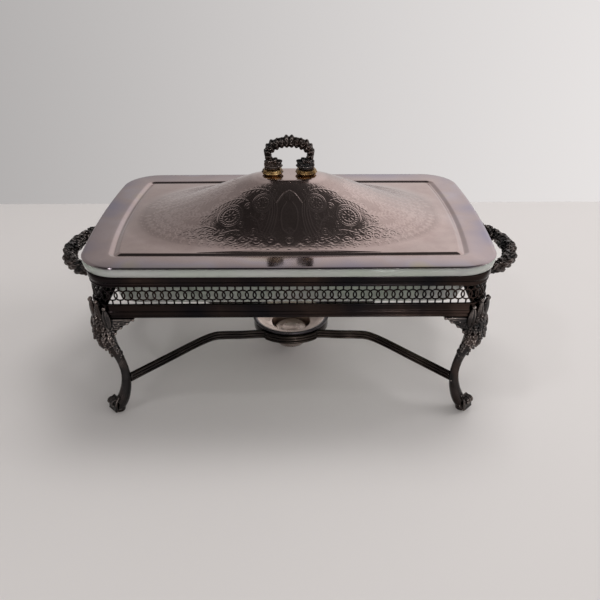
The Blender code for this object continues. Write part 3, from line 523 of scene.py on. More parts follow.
def fused(name, bodies, voxel, finish, ease=2):
    """The bodies run together into one skin, as a casting is."""
    verts, faces = joined(bodies)
    blank = piece(name + "_blank", verts, faces, finish, weld=1e-7)
    remesh = blank.modifiers.new("one skin", "REMESH")
    remesh.mode = "VOXEL"
    remesh.voxel_size = voxel
    soften = blank.modifiers.new("ease", "SMOOTH")
    soften.factor = 0.5
    soften.iterations = ease
    bpy.context.view_layer.update()
    graph = bpy.context.evaluated_depsgraph_get()
    mesh = bpy.data.meshes.new_from_object(blank.evaluated_get(graph))
    mesh.materials.clear()
    mesh.materials.append(finish)
    mesh.shade_smooth()
    bpy.data.objects.remove(blank, do_unlink=True)
    made = bpy.data.objects.new(name, mesh)
    bpy.context.scene.collection.objects.link(made)
    return made


def mirrored(source, name, x, y):
    """A copy of a finished casting, mirrored across the given axes, with its own mesh."""
    mesh = source.data.copy()
    mesh.transform(Matrix.Diagonal((x, y, 1, 1)))
    if x * y < 0:
        mesh.flip_normals()
    made = bpy.data.objects.new(name, mesh)
    bpy.context.scene.collection.objects.link(made)
    return made


def outline(half_x, half_y, corner, bow=(0.0, 0.0), arc=24, sides=None):
    """A rounded rectangle with bowed sides, anticlockwise from +X, as points in the plane. sides sets
    the steps on its long and short sides, so that rings of different sizes pair up."""
    points = []
    signs = ((1, 1), (-1, 1), (-1, -1), (1, -1))
    for index, (sx, sy) in enumerate(signs):
        centre = np.array((sx * (half_x - corner), sy * (half_y - corner)))
        for step in range(arc + 1):
            angle = math.radians(90 * (index + step / arc))
            points.append(centre + corner * np.array((math.cos(angle), math.sin(angle))))
        nx, ny = signs[(index + 1) % 4]
        along = np.array((nx * (half_x - corner), ny * (half_y - corner))) - centre
        if sides:
            count = sides[0] if nx != sx else sides[1]
        else:
            count = max(1, round(np.linalg.norm(along) / SIDE_STEP))
        edge = points[-1]
        for step in range(1, count):
            points.append(edge + along * step / count)
    points = np.array(points)
    x, y = points.T.copy()
    points[:, 0] += np.sign(x) * bow[0] * np.clip(1 - (y / half_y) ** 2, 0, 1) * abs(x) / half_x
    points[:, 1] += np.sign(y) * bow[1] * np.clip(1 - (x / half_x) ** 2, 0, 1) * abs(y) / half_y
    return points


def at_height(points, height):
    heights = np.broadcast_to(np.asarray(height, float), (len(points),))
    return np.column_stack([points, heights])


def swept(path, section, closed=True):
    """A moulding: a section of (outwards, up) carried round a level path of points in space."""
    path = np.asarray(path, float)
    if closed:
        tangents = np.roll(path, -1, 0) - np.roll(path, 1, 0)
    else:
        tangents = np.gradient(path, axis=0)
    tangents[:, 2] = 0
    tangents /= np.linalg.norm(tangents, axis=1)[:, None]
    outward = np.column_stack([tangents[:, 1], -tangents[:, 0], np.zeros(len(path))])
    section = np.array([tuple(p) for p in section], float)
    rings = (
        path[:, None]
        + outward[:, None] * section[None, :, :1]
        + np.array((0, 0, 1.0)) * section[None, :, 1:2]
    )
    if closed:
        return rings.reshape(-1, 3), grid(*rings.shape[:2], wrap_rows=True)
    return capped(rings)


# ---------------------------------------------------------------- the lid's chasing
class Chasing:
    """A quarter of the lid's relief as a height map, in millimetres, drawn by stamping motifs."""

    STEP = 0.40
    WIDE, DEEP = 168.0, 112.0

    def __init__(self):
        self.x = np.arange(0, self.WIDE, self.STEP)
        self.y = np.arange(0, self.DEEP, self.STEP)
        self.map = np.zeros((len(self.x), len(self.y)))

    def window(self, x, y, reach):
        low_x, high_x = np.searchsorted(self.x, (x - reach, x + reach))
        low_y, high_y = np.searchsorted(self.y, (y - reach, y + reach))
        span = (slice(low_x, high_x), slice(low_y, high_y))
        return span, self.x[span[0]][:, None] - x, self.y[span[1]][None, :] - y

    def raise_to(self, span, shape):
        self.map[span] = np.maximum(self.map[span], shape)

    def dot(self, x, y, radius, height):
        span, dx, dy = self.window(x, y, radius)
        self.raise_to(span, height * np.sqrt(np.clip(1 - (dx**2 + dy**2) / radius**2, 0, 1)))

    def stroke(self, points, width, height, taper=0.0):
        points = np.asarray(points, float)
        steps = np.linalg.norm(np.diff(points, axis=0), axis=1)
        travelled = np.concatenate([[0], np.cumsum(steps)])
        spots = np.arange(0, travelled[-1], self.STEP * 0.8)
        x = np.interp(spots, travelled, points[:, 0])
        y = np.interp(spots, travelled, points[:, 1])
        for place_x, place_y, share in zip(x, y, spots / max(travelled[-1], 1e-9)):
            thin = 1 - taper * share
            self.dot(place_x, place_y, width * thin, height * (0.5 + 0.5 * thin))

    def feather(self, x, y, angle, length, reach=2.8, height=0.17):
        """A chased frond: a stem with slanting barbs on both sides, short at both ends."""
        ahead = np.array((math.cos(angle), math.sin(angle)))
        root = np.array((x, y), float)
        self.stroke([root, root + ahead * length], 0.48, height)
        count = max(2, int(length / 1.7))
        for step in range(count):
            share = (step + 0.5) / count
            for hand in (-1, 1):
                turn = angle + hand * 0.80
                barb = reach * math.sin(math.pi * (0.12 + 0.84 * share))
                start = root + ahead * length * share
                tip = start + barb * np.array((math.cos(turn), math.sin(turn)))
                self.stroke([start, tip], 0.46, height * 0.9, 0.35)

    def spray(self, x, y, angle, length, count=5, spread=1.1):
        """Fronds fanned from one root."""
        for turn in np.linspace(-spread, spread, count):
            self.feather(x, y, angle + turn, length * (1 - 0.3 * abs(turn) / spread), 2.0)

    def branch(self, points, length=8.0, pitch=4.6):
        """A stem with fronds leaving it by turns on either side."""
        line = through(points, 10)
        self.stroke(line, 0.60, 0.23)
        steps = np.linalg.norm(np.diff(line, axis=0), axis=1)
        travelled = np.concatenate([[0], np.cumsum(steps)])
        for index, spot in enumerate(np.arange(pitch * 0.6, travelled[-1], pitch)):
            x = np.interp(spot, travelled, line[:, 0])
            y = np.interp(spot, travelled, line[:, 1])
            at = min(np.searchsorted(travelled, spot), len(line) - 1)
            dx, dy = line[at] - line[at - 1]
            shrink = 1 - 0.45 * spot / travelled[-1]
            for hand in (-1, 1):
                turn = math.atan2(dy, dx) + hand * (0.85 + 0.1 * (index % 2))
                self.feather(x, y, turn, length * shrink, 2.3 * shrink)

    def spiral(self, x, y, radius, start, turns, width=0.55, height=0.22, hand=1):
        t = np.linspace(0, 1, 60)
        angle = start + hand * 2 * math.pi * turns * t
        reach = radius * (1 - 0.86 * t)
        self.stroke(np.column_stack([x + reach * np.cos(angle), y + reach * np.sin(angle)]), width, height)
        self.dot(x, y, radius * 0.24, height * 1.1)

    def rosette(self, x, y, radius):
        span, dx, dy = self.window(x, y, radius * 1.15)
        reach = np.hypot(dx, dy) / radius
        turn = np.arctan2(dy, dx)
        rings = sum(np.exp(-(((reach - at) / 0.05) ** 2)) for at in (0.98, 0.84, 0.56))
        petals = np.clip(np.cos(turn * 8), 0, 1) * np.exp(-(((reach - 0.36) / 0.13) ** 2))
        wreath = np.clip(np.cos(turn * 22 + reach * 14), 0, 1) * np.exp(-(((reach - 0.70) / 0.09) ** 2))
        centre = np.exp(-((reach / 0.14) ** 2))
        shape = 0.25 * np.clip(rings + petals + wreath + centre, 0, 1)
        self.map[span] = np.where(reach < 1.06, shape, self.map[span])

    def stipple(self, inside, count):
        scatter = np.random.default_rng(11)
        spots = scatter.random((count, 2)) * (self.WIDE, self.DEEP)
        for x, y in spots:
            if inside(x, y):
                self.dot(x, y, 0.60, 0.05)


def oval(share, turn):
    """A point on the chasing's oval, at a share of its size."""
    cos, sin = math.cos(turn), math.sin(turn)
    power = 2 / OVAL_POWER
    x = OVAL_X * abs(cos) ** power * np.sign(cos)
    y = OVAL_Y * abs(sin) ** power * np.sign(sin)
    return share * x, share * y


def superellipse(x, y, half_x, half_y, power):
    """1 on the curve, 0 at its middle."""
    return (np.abs(x / half_x) ** power + np.abs(y / half_y) ** power) ** (1 / power)


def oval_reach(x, y):
    return superellipse(x, y, OVAL_X, OVAL_Y, OVAL_POWER)


def chased_oval():
    made = Chasing()
    made.stipple(lambda x, y: 0.24 < oval_reach(x, y) < 0.97, 15000)
    # the border: C-scrolls back to back, fronds between them, a beaded edge
    turns = np.linspace(0.05, math.pi / 2, 19)
    for index, turn in enumerate(turns):
        x, y = oval(0.890, turn)
        heading = math.atan2(y / OVAL_Y**2, x / OVAL_X**2)
        made.spiral(x, y, 4.6, heading + math.pi / 2, 1.4, 0.55, 0.22, 1 if index % 2 else -1)
        out_x, out_y = oval(0.930, turn + 0.042)
        made.spray(out_x, out_y, heading, 7.0, 3, 0.65)
        in_x, in_y = oval(0.850, turn)
        made.feather(in_x, in_y, heading + math.pi + 0.5, 7.0, 2.4)
        made.feather(in_x, in_y, heading + math.pi - 0.5, 7.0, 2.4)
        made.dot(*oval(1.0, turn), 0.9, 0.20)
        made.dot(*oval(0.985, turn + 0.02), 0.6, 0.16)
    # the tall reeds at both sides of the plain middle, and the frame they make
    for x, lean, width in ((12.5, 6.0, 0.62), (14.6, 7.6, 0.50), (17.0, 9.0, 0.62), (19.6, 10.0, 0.50)):
        reed = through([(x, 44), (x - 0.4, 53), (x + lean * 0.3, 66), (x + lean, 80)], 12)
        made.stroke(reed, width, 0.28, 0.3)
    made.stroke(through([(0, 31), (5, 34), (9, 39), (12.5, 44)], 12), 0.60, 0.36)
    made.stroke(through([(3, 43), (7, 50), (8, 60), (6, 70), (0, 76)], 12), 0.50, 0.26)
    for y, length in ((33, 8), (68, 8), (76, 7)):
        made.spray(0.0, y, math.pi / 2, length, 3, 0.8)
    # fronds that climb and spread from the middle to both ends
    made.branch([(14, 42), (20, 31), (32, 26), (46, 26)], 7.0)
    made.branch([(22, 80), (28, 70), (31, 60), (38, 54)], 7.0)
    made.branch([(30, 82), (42, 76), (50, 68), (66, 70)], 8.0)
    made.branch([(40, 38), (50, 33), (64, 34), (76, 40)], 8.0)
    made.branch([(70, 64), (80, 58), (90, 58), (104, 50)], 8.0)
    made.branch([(74, 44), (88, 42), (100, 36), (112, 36)], 8.5)
    made.branch([(56, 20), (72, 16), (90, 20), (108, 18), (128, 22)], 9.0)
    made.branch([(52, 6), (74, 4), (98, 5), (118, 4), (134, 4)], 8.0)
    made.branch([(96, 28), (108, 28), (120, 32)], 7.0)
    for x, y, radius, start, hand in (
        (34, 71, 4.4, 1.0, 1), (46, 62, 3.8, 2.0, -1), (40, 44, 3.6, 4.0, 1), (72, 34, 4.4, 2.5, -1),
        (84, 50, 4.6, 3.0, 1), (92, 30, 4.4, 1.5, -1), (108, 44, 4.0, 2.5, 1), (116, 14, 4.4, 2.0, -1),
        (66, 26, 3.8, 3.0, 1), (84, 11, 4.0, 1.0, 1), (56, 12, 3.8, 2.0, -1), (122, 26, 3.6, 0.5, -1),
        (26, 56, 3.4, 0.4, 1), (76, 68, 4.0, 1.4, -1), (58, 80, 3.6, 0.9, 1), (96, 66, 3.6, 1.8, -1),
    ):
        made.spiral(x, y, radius, start, 1.6, 0.50, 0.22, hand)
    # roundels
    made.rosette(26.0, 42.5, 9.6)
    made.rosette(57.0, 51.0, 12.0)
    return made


def sampled(chasing, x, y):
    """The relief's height at points of the lid, in metres, read between the map's cells."""
    u = np.clip(np.abs(x) / MM / chasing.STEP, 0, len(chasing.x) - 1.001)
    v = np.clip(np.abs(y) / MM / chasing.STEP, 0, len(chasing.y) - 1.001)
    i, j = u.astype(int), v.astype(int)
    s, t = u - i, v - j
    m = chasing.map
    height = m[i, j] * (1 - s) * (1 - t) + m[i + 1, j] * s * (1 - t) + m[i, j + 1] * (1 - s) * t
    return (height + m[i + 1, j + 1] * s * t) * MM


def dome(x, y):
    """The height of the lid's panel over its rim: a bell that levels off under the handle."""
    reach = superellipse(x, y, DOME_HALF.x, DOME_HALF.y, DOME_POWER)
    reach = reach * (1 - 0.07 * np.clip((reach - 0.35) / 0.6, 0, 1))
    bell = ((1 + np.cos(np.pi * np.clip(reach, 0, 1))) / 2) ** 0.93
    raw = DOME_HEIGHT * bell
    over = np.clip((raw - DOME_FLAT + 0.0016) / 0.0032, 0, 1)
    return np.minimum(raw, DOME_FLAT) * (1 - over) + (DOME_FLAT - 0.0008 * (1 - over) ** 2) * over


def lid_ring(inset, height):
    corner = max(LID_CORNER - inset * 1.10, 0.0030)
    bow = tuple(LID_BOW)
    ring = outline(LID_HALF.x - inset, LID_HALF.y - inset, corner, bow, arc=40, sides=(300, 170))
    return at_height(ring, height)


def panel_rings(count, lift):
    """Rings from the groove's inner edge up the dome to its middle."""
    panel = lid_ring(GROOVE_INSET + GROOVE_WIDTH, 0.0)
    rings = []
    for share in np.linspace(1, 0.02, count)[1:]:
        ring = panel * share
        ring[:, 2] = dome(ring[:, 0], ring[:, 1]) + lift
        rings.append(ring)
    return rings


def groove_steps(section, lift):
    return [(GROOVE_INSET + GROOVE_WIDTH * share, lift - GROOVE_DEPTH * depth) for share, depth in section]


def lid_upper(chasing):
    """The upper face's rings, from the rolled edge to the middle, with the chasing raised on the dome."""
    shoulder = 0.0011
    steps = [
        (0.0000, -LID_EDGE), (-0.0001, -LID_EDGE * 0.75), (0.0000, -LID_SHEET), (0.0004, -0.0004),
        (shoulder, 0.0),
    ]
    steps += [(shoulder + (GROOVE_INSET - shoulder) * share, 0.0) for share in np.linspace(0.1, 1.0, 9)]
    steps += groove_steps(GROOVE_SECTION, 0.0)
    rim = [lid_ring(inset, height) for inset, height in steps]
    upper = np.array(rim + panel_rings(DOME_RINGS, 0.0))
    x, y = upper[..., 0], upper[..., 1]
    inside = np.clip((oval_reach(x / MM, y / MM) - OVAL_PLAIN) / 0.03, 0, 1)
    inside = inside * (np.arange(len(upper)) >= len(steps))[:, None]
    upper[..., 2] += sampled(chasing, x, y) * inside
    return upper


def lid_under():
    """The under face's rings, plain, one sheet below."""
    steps = [
        (0.0012, -LID_EDGE), (0.0013, -LID_SHEET - 0.0006), (0.0024, -LID_SHEET), (GROOVE_INSET, -LID_SHEET),
    ]
    steps += groove_steps([GROOVE_SECTION[at] for at in (3, 6, 9, 13)], -LID_SHEET)
    return np.array([lid_ring(inset, height) for inset, height in steps] + panel_rings(26, -LID_SHEET))


def mark_lid(mesh, chasing):
    """Point attributes that the lid's finish reads: relief, worked area and nearness to the edge."""
    end = GROOVE_INSET + GROOVE_WIDTH
    place = np.empty(len(mesh.vertices) * 3)
    mesh.vertices.foreach_get("co", place)
    x, y, z = place.reshape(-1, 3).T
    top = z > LID_RIM + dome(x, y) - LID_SHEET / 2
    share = oval_reach(x / MM, y / MM)
    worked = np.clip((1.03 - share) / 0.05, 0, 1) * np.clip((share - OVAL_PLAIN) / 0.03, 0, 1) * top
    relief = sampled(chasing, x, y) / MM * worked
    border = np.maximum(np.abs(x) - (LID_HALF.x - end), np.abs(y) - (LID_HALF.y - end)) / end
    for name, values in (("relief", relief), ("worked", worked), ("edge", np.clip(border, 0, 1))):
        layer = mesh.attributes.new(name, "FLOAT", "POINT")
        layer.data.foreach_set("value", values.astype(np.float32))


def lid_cover():
    """The lid's sheet: its upper face finely ringed for the chasing, its under face plain."""
    chasing = chased_oval()
    stack = np.vstack([lid_under()[::-1], lid_upper(chasing)])
    stack[..., 2] += LID_RIM
    made = piece("lid_chased_cover", *capped(stack), LID_PLATE, weld=1e-7)
    mark_lid(made.data, chasing)
    belong(made, "lid", "tarnished_silver", "lid_cover")


# ---------------------------------------------------------------- the lid's handle
# each leaf of the lid's handle: x and height of its root, x and height of its tip, and its width
HANDLE_OUTER = (
    (0.0205, 0.0125, 0.0246, 0.0142, 0.0050), (0.0210, 0.0165, 0.0252, 0.0196, 0.0056),
    (0.0190, 0.0205, 0.0230, 0.0252, 0.0054), (0.0160, 0.0235, 0.0184, 0.0296, 0.0060),
    (0.0112, 0.0258, 0.0122, 0.0312, 0.0056), (0.0066, 0.0268, 0.0072, 0.0318, 0.0052),
    (0.0020, 0.0275, 0.0030, 0.0344, 0.0058),
)
HANDLE_INNER = (
    (0.0026, 0.0262, 0.0022, 0.0210), (0.0082, 0.0256, 0.0066, 0.0206), (0.0135, 0.0238, 0.0112, 0.0190),
    (0.0178, 0.0196, 0.0152, 0.0166),
)
HANDLE_BASE = (
    (0.0180, 0.0050, 0.0253, 0.0078, 0.0056), (0.0180, 0.0030, 0.0253, 0.0026, 0.0054),
    (0.0150, 0.0050, 0.0068, 0.0082, 0.0056), (0.0150, 0.0030, 0.0064, 0.0030, 0.0054),
    (0.0165, 0.0070, 0.0118, 0.0108, 0.0050), (0.0190, 0.0072, 0.0232, 0.0104, 0.0044),
)


def handle_leaf(sign, leaf):
    """A leaf that stands off the loop, with a smaller one laid on each of its faces."""
    x, z, tip_x, tip_z, width = leaf
    start = np.array((sign * x, 0, HANDLE_LOW.z + z))
    tip = np.array((sign * tip_x, 0, HANDLE_LOW.z + tip_z))
    bodies = [lobe(start, tip, (0.0, 1.0, 0.0), width, 0.0068)]
    for face in (-1, 1):
        root = start * 1.2 - tip * 0.2 + (0, face * 0.0024, 0)
        end = tip * 0.75 + start * 0.25 + (0, face * 0.0040, 0)
        bodies.append(lobe(root, end, (0, face, 0), width * 0.80, 0.0034, 0.0006, 0.7))
    return bodies


def handle_side(sign, path):
    """One half of the handle's dressing: its foot, its leaves and the curls at its base."""
    low = HANDLE_LOW.z
    foot = np.array((sign * HANDLE_SPREAD, 0, low))
    ledge = [(sign * 0.0240, 0, low + 0.0040), (sign * 0.0078, 0, low + 0.0040)]
    bodies = [
        tube([foot + (0, 0, 0.0001), foot + (0, 0, 0.0030)], 0.0080, 24, 0.78, (0, 1, 0)),
        tube(ledge, 0.0030, 14, 1.3, (0, 1, 0)),
    ]
    for leaf in HANDLE_OUTER + HANDLE_BASE:
        bodies += handle_leaf(sign, leaf)
    for x, z, tip_x, tip_z in HANDLE_INNER:
        start, tip = (sign * x, 0, low + z), (sign * tip_x, 0, low + tip_z)
        bodies.append(lobe(start, tip, (0.0, 1.0, 0.0), 0.0056, 0.0060))
    for at in range(8, 51, 7):
        spot, ahead = path[at] * (-sign, 1, 1), path[at + 5] * (-sign, 1, 1)
        for face in (-1, 1):
            lift = np.array((0, face * 0.0032, 0))
            bodies.append(lobe(spot + lift, ahead + lift * 1.3, (0, face, 0), 0.0070, 0.0034, 0.0008, 0.7))
    for face in (-1, 1):
        eye = np.array((sign * 0.0222, face * 0.0040, low + 0.0052))
        bodies.append(curl(eye, (0, face, 0), (-sign, 0, 0), 0.0030, 1.3, 0.0010))
    return bodies


def lid_handle():
    """A cast loop of leaves."""
    low = HANDLE_LOW.z
    half = [
        (-0.0170, 0.0006, 0.0054), (-0.0186, 0.0060, 0.0047), (-0.0208, 0.0118, 0.0036),
        (-0.0212, 0.0172, 0.0038), (-0.0182, 0.0224, 0.0040), (-0.0120, 0.0260, 0.0042),
        (-0.0055, 0.0272, 0.0046), (0.0, 0.0270, 0.0048),
    ]
    rows = through(half, 8)
    rows = np.vstack([rows, rows[-2::-1] * (-1, 1, 1)])
    path = np.column_stack([rows[:, 0], np.zeros(len(rows)), low + rows[:, 1]])
    bodies = [tube(path, rows[:, 2], 14)]
    for sign in (-1, 1):
        bodies += handle_side(sign, path)
    made = fused("lid_handle_casting", bodies, 0.00033, CAST, 1)
    press(made, HANDLE_LOW, HANDLE_HIGH)
    belong(made, "lid", "oxidised_silver", "lid_handle")


def collars():
    """Two brass collars, stepped and gently scalloped."""
    low, high = COLLAR_LOW.z, COLLAR_HIGH.z
    for sign, label in ((-1, "left"), (1, "right")):
        profile = [
            (0.0020, high), (0.0092, high), (0.0100, high - 0.0008), (0.0094, high - 0.0016),
            (0.0104, high - 0.0021), (0.0108, high - 0.0030), (0.0103, high - 0.0040),
            (0.0088, low + 0.0004), (0.0086, low), (0.0020, low),
        ]
        verts, faces = lathe([tuple(p) for p in rounded(profile, 0.0006, 3)], 96)
        turn = np.arctan2(verts[:, 1], verts[:, 0])
        reach = np.hypot(verts[:, 0], verts[:, 1])
        swell = 1 + 0.035 * np.cos(turn * 12) * np.clip((reach - 0.007) / 0.003, 0, 1)
        verts[:, :2] *= swell[:, None]
        verts[:, 0] += sign * HANDLE_SPREAD
        made = piece(f"collar_{label}", verts, faces, BRASS, weld=1e-7)
        belong(made, "lid", "worn_brass", f"lid_handle_collar_{label}")


def press(made, low, high):
    """Whatever of the piece passes the box is pressed flat onto it."""
    for vertex in made.data.vertices:
        for axis in range(3):
            vertex.co[axis] = min(max(vertex.co[axis], low[axis]), high[axis])


# ---------------------------------------------------------------- dish
def glass_dish():
    """The dish, hollow, from the middle of its floor up the inside, over the flange and back below."""
    half = Vector((DISH_HIGH.x, DISH_HIGH.y)) - LID_BOW
    top, low, wall = LID_RIM - LID_EDGE - GAP, DISH_LOW.z, DISH_WALL
    mouth = Vector((WALL.x - 0.0056 - wall, WALL.y - 0.0056 - wall))
    floor = mouth - Vector((DISH_TAPER, DISH_TAPER))
    under = top - 0.0085
    steps = []  # half sizes, corner, height, bow share

    def add(base, grow, corner, height, bow=0.0):
        steps.append((base.x + grow, base.y + grow, corner, height, bow))

    def turned(base, ease, corner, level, turns):
        """The rounded foot of the wall, inside or out."""
        for turn in turns:
            inset = ease * (1 - math.sin(turn))
            add(base, -inset, corner - inset * 0.6, level + ease * (1 - math.cos(turn)))

    quarter = np.linspace(0, math.pi / 2, 7)
    for share in (0.25, 0.6, 0.85):
        add(floor * share, 0.0, 0.020 * share, low + wall)
    turned(floor, 0.0075, 0.020, low + wall, quarter)
    for share in (0.3, 0.6, 0.92):
        add(floor, DISH_TAPER * share, DISH_CORNER, low + wall + 0.0075 + DISH_CLIMB * share)
    add(mouth, 0.0006, DISH_CORNER, top - 0.0016)
    add(mouth, 0.0022, 0.0200, top)
    add(half, -0.0030, LID_CORNER - 0.0030, top, 1.0)
    add(half, -0.0008, LID_CORNER - 0.0008, top - 0.0009, 1.0)
    add(half, 0.0, LID_CORNER, top - 0.0032, 1.0)
    add(half, -0.0006, LID_CORNER, top - 0.0076, 1.0)
    add(half, -0.0028, LID_CORNER - 0.0028, under, 1.0)
    add(mouth, wall + 0.0034, 0.0220, under)
    add(mouth, wall, 0.0225, top - 0.0100)
    for share in (0.92, 0.6, 0.3):
        add(floor, wall + DISH_TAPER * share, 0.0225, low + 0.0100 + DISH_CLIMB * share)
    turned(floor + Vector((wall, wall)), 0.0100, 0.024, low, quarter[::-1])
    for share in (0.85, 0.6, 0.25):
        add(floor * share, 0.0, 0.020 * share, low)
    rings = []
    for x, y, corner, height, bow in steps:
        ring = outline(x, y, corner, tuple(LID_BOW * bow), arc=16, sides=(60, 36))
        rings.append(at_height(ring, height))
    made = piece("dish_of_glass", *capped(rings), GLASS, weld=1e-7)
    belong(made, "dish", "clear_glass", "glass_dish")


# ---------------------------------------------------------------- frame
def wall_path(offset, level):
    ring = outline(WALL.x + offset, WALL.y + offset, WALL_CORNER + offset)
    return at_height(ring, level)


def rims():
    """The drawn mouldings above and below the gallery, with their beads and coves eased."""
    wall, proud = 0.0022, RIM_PROUD
    tall = RIM_HIGH.z - RIM_LOW.z
    lower = [
        (-0.0110, 0), (0.2 * proud, 0), (0.75 * proud, 0.05 * tall), (0.75 * proud, 0.11 * tall),
        (0.35 * proud, 0.16 * tall), (0.35 * proud, 0.23 * tall), (proud, 0.28 * tall), (proud, 0.47 * tall),
        (0.35 * proud, 0.53 * tall), (0.20 * proud, 0.86 * tall), (0.55 * proud, 0.90 * tall),
        (0.45 * proud, tall), (-wall, tall), (-wall, 0.0016), (-0.0110, 0.0016),
    ]
    made = piece("frame_lower_moulding", *swept(wall_path(0, FRAME_BOTTOM), rounded(lower, 0.0011)), DARK)
    belong(made, "frame", "oxidised_silver", "lower_rim")
    high = TOP_HIGH.z - TOP_LOW.z
    upper = [
        (-wall, 0), (0.45 * proud, 0), (0.55 * proud, 0.09 * high), (0.10 * proud, 0.16 * high),
        (0.10 * proud, 0.36 * high), (0.55 * proud, 0.42 * high), (proud, 0.50 * high), (proud, 0.84 * high),
        (0.5 * proud, high), (-0.0050, high), (-0.0050, high - 0.0016), (-wall, high - 0.0016),
    ]
    made = piece("frame_upper_moulding", *swept(wall_path(0, TOP_LOW.z), rounded(upper, 0.0011)), DARK)
    belong(made, "frame", "oxidised_silver", "upper_rim")


class Gallery:
    """The gallery's middle surface, addressed by the length travelled round it, height and depth."""

    def __init__(self):
        path = wall_path(-0.0007, 0.0)
        self.path = np.vstack([path, path[:1]])
        steps = np.linalg.norm(np.diff(self.path, axis=0), axis=1)
        self.travelled = np.concatenate([[0], np.cumsum(steps)])
        self.total = self.travelled[-1]
        self.middle = (WALL_LOW.z + WALL_HIGH.z) / 2
        self.half = (WALL_HIGH.z - WALL_LOW.z) / 2

    def plan(self, along):
        along = np.mod(along, self.total)
        return [np.interp(along, self.travelled, self.path[:, axis]) for axis in (0, 1)]

    def at(self, along, up, out):
        x, y = self.plan(along)
        next_x, next_y = self.plan(along + 0.0004)
        dx, dy = next_x - x, next_y - y
        long = np.hypot(dx, dy)
        return np.stack([x + dy / long * out, y - dx / long * out, self.middle + up], -1)

    def side(self, along):
        x, y = self.plan(along)
        if abs(x) < WALL.x - WALL_CORNER:
            return "front" if y < 0 else "back"
        return "left" if x < 0 else "right"

    def ring(self, centre):
        """One ring; it leans out on one side and in on the other, so that it passes its neighbours."""
        eighths = np.arange(8) * math.pi / 4 + math.pi / 8
        across, depth = np.cos(eighths) * RING_BAND, np.sin(eighths) * 0.00060
        rows = []
        for turn in np.arange(30) * 2 * math.pi / 30:
            reach = RING_RADIUS + across
            weave = 0.00030 * math.cos(turn)
            rows.append(self.at(centre + reach * math.cos(turn), reach * math.sin(turn), depth + weave))
        rows = np.array(rows)
        return rows.reshape(-1, 3), grid(*rows.shape[:2], wrap_rows=True).tolist()

    def tie(self, centre, sign):
        """A short bar from the ring to the rim above or below."""
        sixths = np.arange(6) * math.pi / 3
        along, depth = centre + np.cos(sixths) * 0.00080, np.sin(sixths) * 0.00055
        rows = []
        for height in (sign * (RING_RADIUS - 0.0002), sign * (self.half + 0.0002)):
            rows.append(self.at(along, np.full(6, height), depth))
        return capped(rows)


def galleries():
    """Interlaced rings, each passing over one neighbour and under the other, tied to both rims."""
    gallery = Gallery()
    count = round(gallery.total / RING_PITCH)
    walls = {"front": [], "back": [], "left": [], "right": []}
    for centre in (np.arange(count) + 0.5) * gallery.total / count:
        walls[gallery.side(centre)] += [gallery.ring(centre), gallery.tie(centre, -1), gallery.tie(centre, 1)]
    for side, bodies in walls.items():
        made = piece(f"gallery_rings_{side}", *joined(bodies), DARK, weld=1e-8)
        belong(made, "frame", "oxidised_silver", f"gallery_{side}")


# ---------------------------------------------------------------- legs
def plate(outline_points, place, thick):
    """A flat casting with eased edges: its outline in two directions, placed by a function."""
    flat = np.array([tuple(p) for p in rounded(outline_points, 0.0030, 4)])
    middle = flat.mean(0)
    rings = []
    for share, depth in ((0.80, -0.5), (0.93, -0.45), (1.0, -0.2), (1.0, 0.2), (0.93, 0.45), (0.80, 0.5)):
        rings.append([place(*(middle + (point - middle) * share), depth * thick) for point in flat])
    return capped(rings)


def spun(way, turn):
    """A level direction turned about Z."""
    cos, sin = math.cos(turn), math.sin(turn)
    return np.array((way[0] * cos - way[1] * sin, way[0] * sin + way[1] * cos, 0))


def by_corner(x, y, z):
    """A point by its distances from the front left corner of the gallery's walls."""
    return LEG_CORNER + (x, y, z)


def leg_crown():
    """The acanthus that wraps the corner above the frame's underside, with its seed balls."""
    bodies = []
    for turn, rise in ((-0.50, 0.0130), (-0.18, 0.0185), (0.18, 0.0185), (0.50, 0.0130)):
        aim = spun(LEG_OUT, turn)
        foot = by_corner(WALL_CORNER, WALL_CORNER, FRAME_BOTTOM - 0.012) + aim * (WALL_CORNER + 0.0012)
        tip = by_corner(WALL_CORNER, WALL_CORNER, FRAME_BOTTOM + rise - 0.002) + aim * (WALL_CORNER + 0.0034)
        bodies.append(lobe(foot, tip, aim, 0.0086, 0.0052, 0.0006))
        bodies.append(ball(tip + aim * 0.0006, 0.0020))
    return bodies


def leg_knee():
    """Rows of short curled leaves, each row lapping the next: its level, reach, count and leaf length."""
    bodies = []
    for level, reach, count, length in (
        (0.000, 0.0120, 6, 0.0066), (-0.006, 0.0130, 7, 0.0070), (-0.012, 0.0134, 7, 0.0070),
        (-0.018, 0.0134, 6, 0.0070), (-0.024, 0.0126, 5, 0.0068), (-0.030, 0.0114, 5, 0.0066),
        (-0.036, 0.0100, 4, 0.0064), (-0.043, 0.0084, 3, 0.0060),
    ):
        slip = max(0.0, -level - 0.018) * 0.16
        hub = by_corner(0.0112 + slip * 1.6, 0.0104 + slip, FRAME_BOTTOM + level)
        for turn in np.linspace(-1.15, 1.15, count):
            aim = spun(LEG_OUT, turn)
            start = hub + aim * (reach - 0.0052)
            tip = hub + aim * (reach - 0.0006) + (0, 0, -length)
            bodies.append(lobe(start, tip, aim, 0.0062, 0.0044, 0.0014))
            bodies.append(ball(tip + aim * 0.0004 + (0, 0, 0.0008), 0.0015))
            bodies.append(ball(start + aim * 0.0042 + (0, 0, -0.0008), 0.0011))
    return bodies


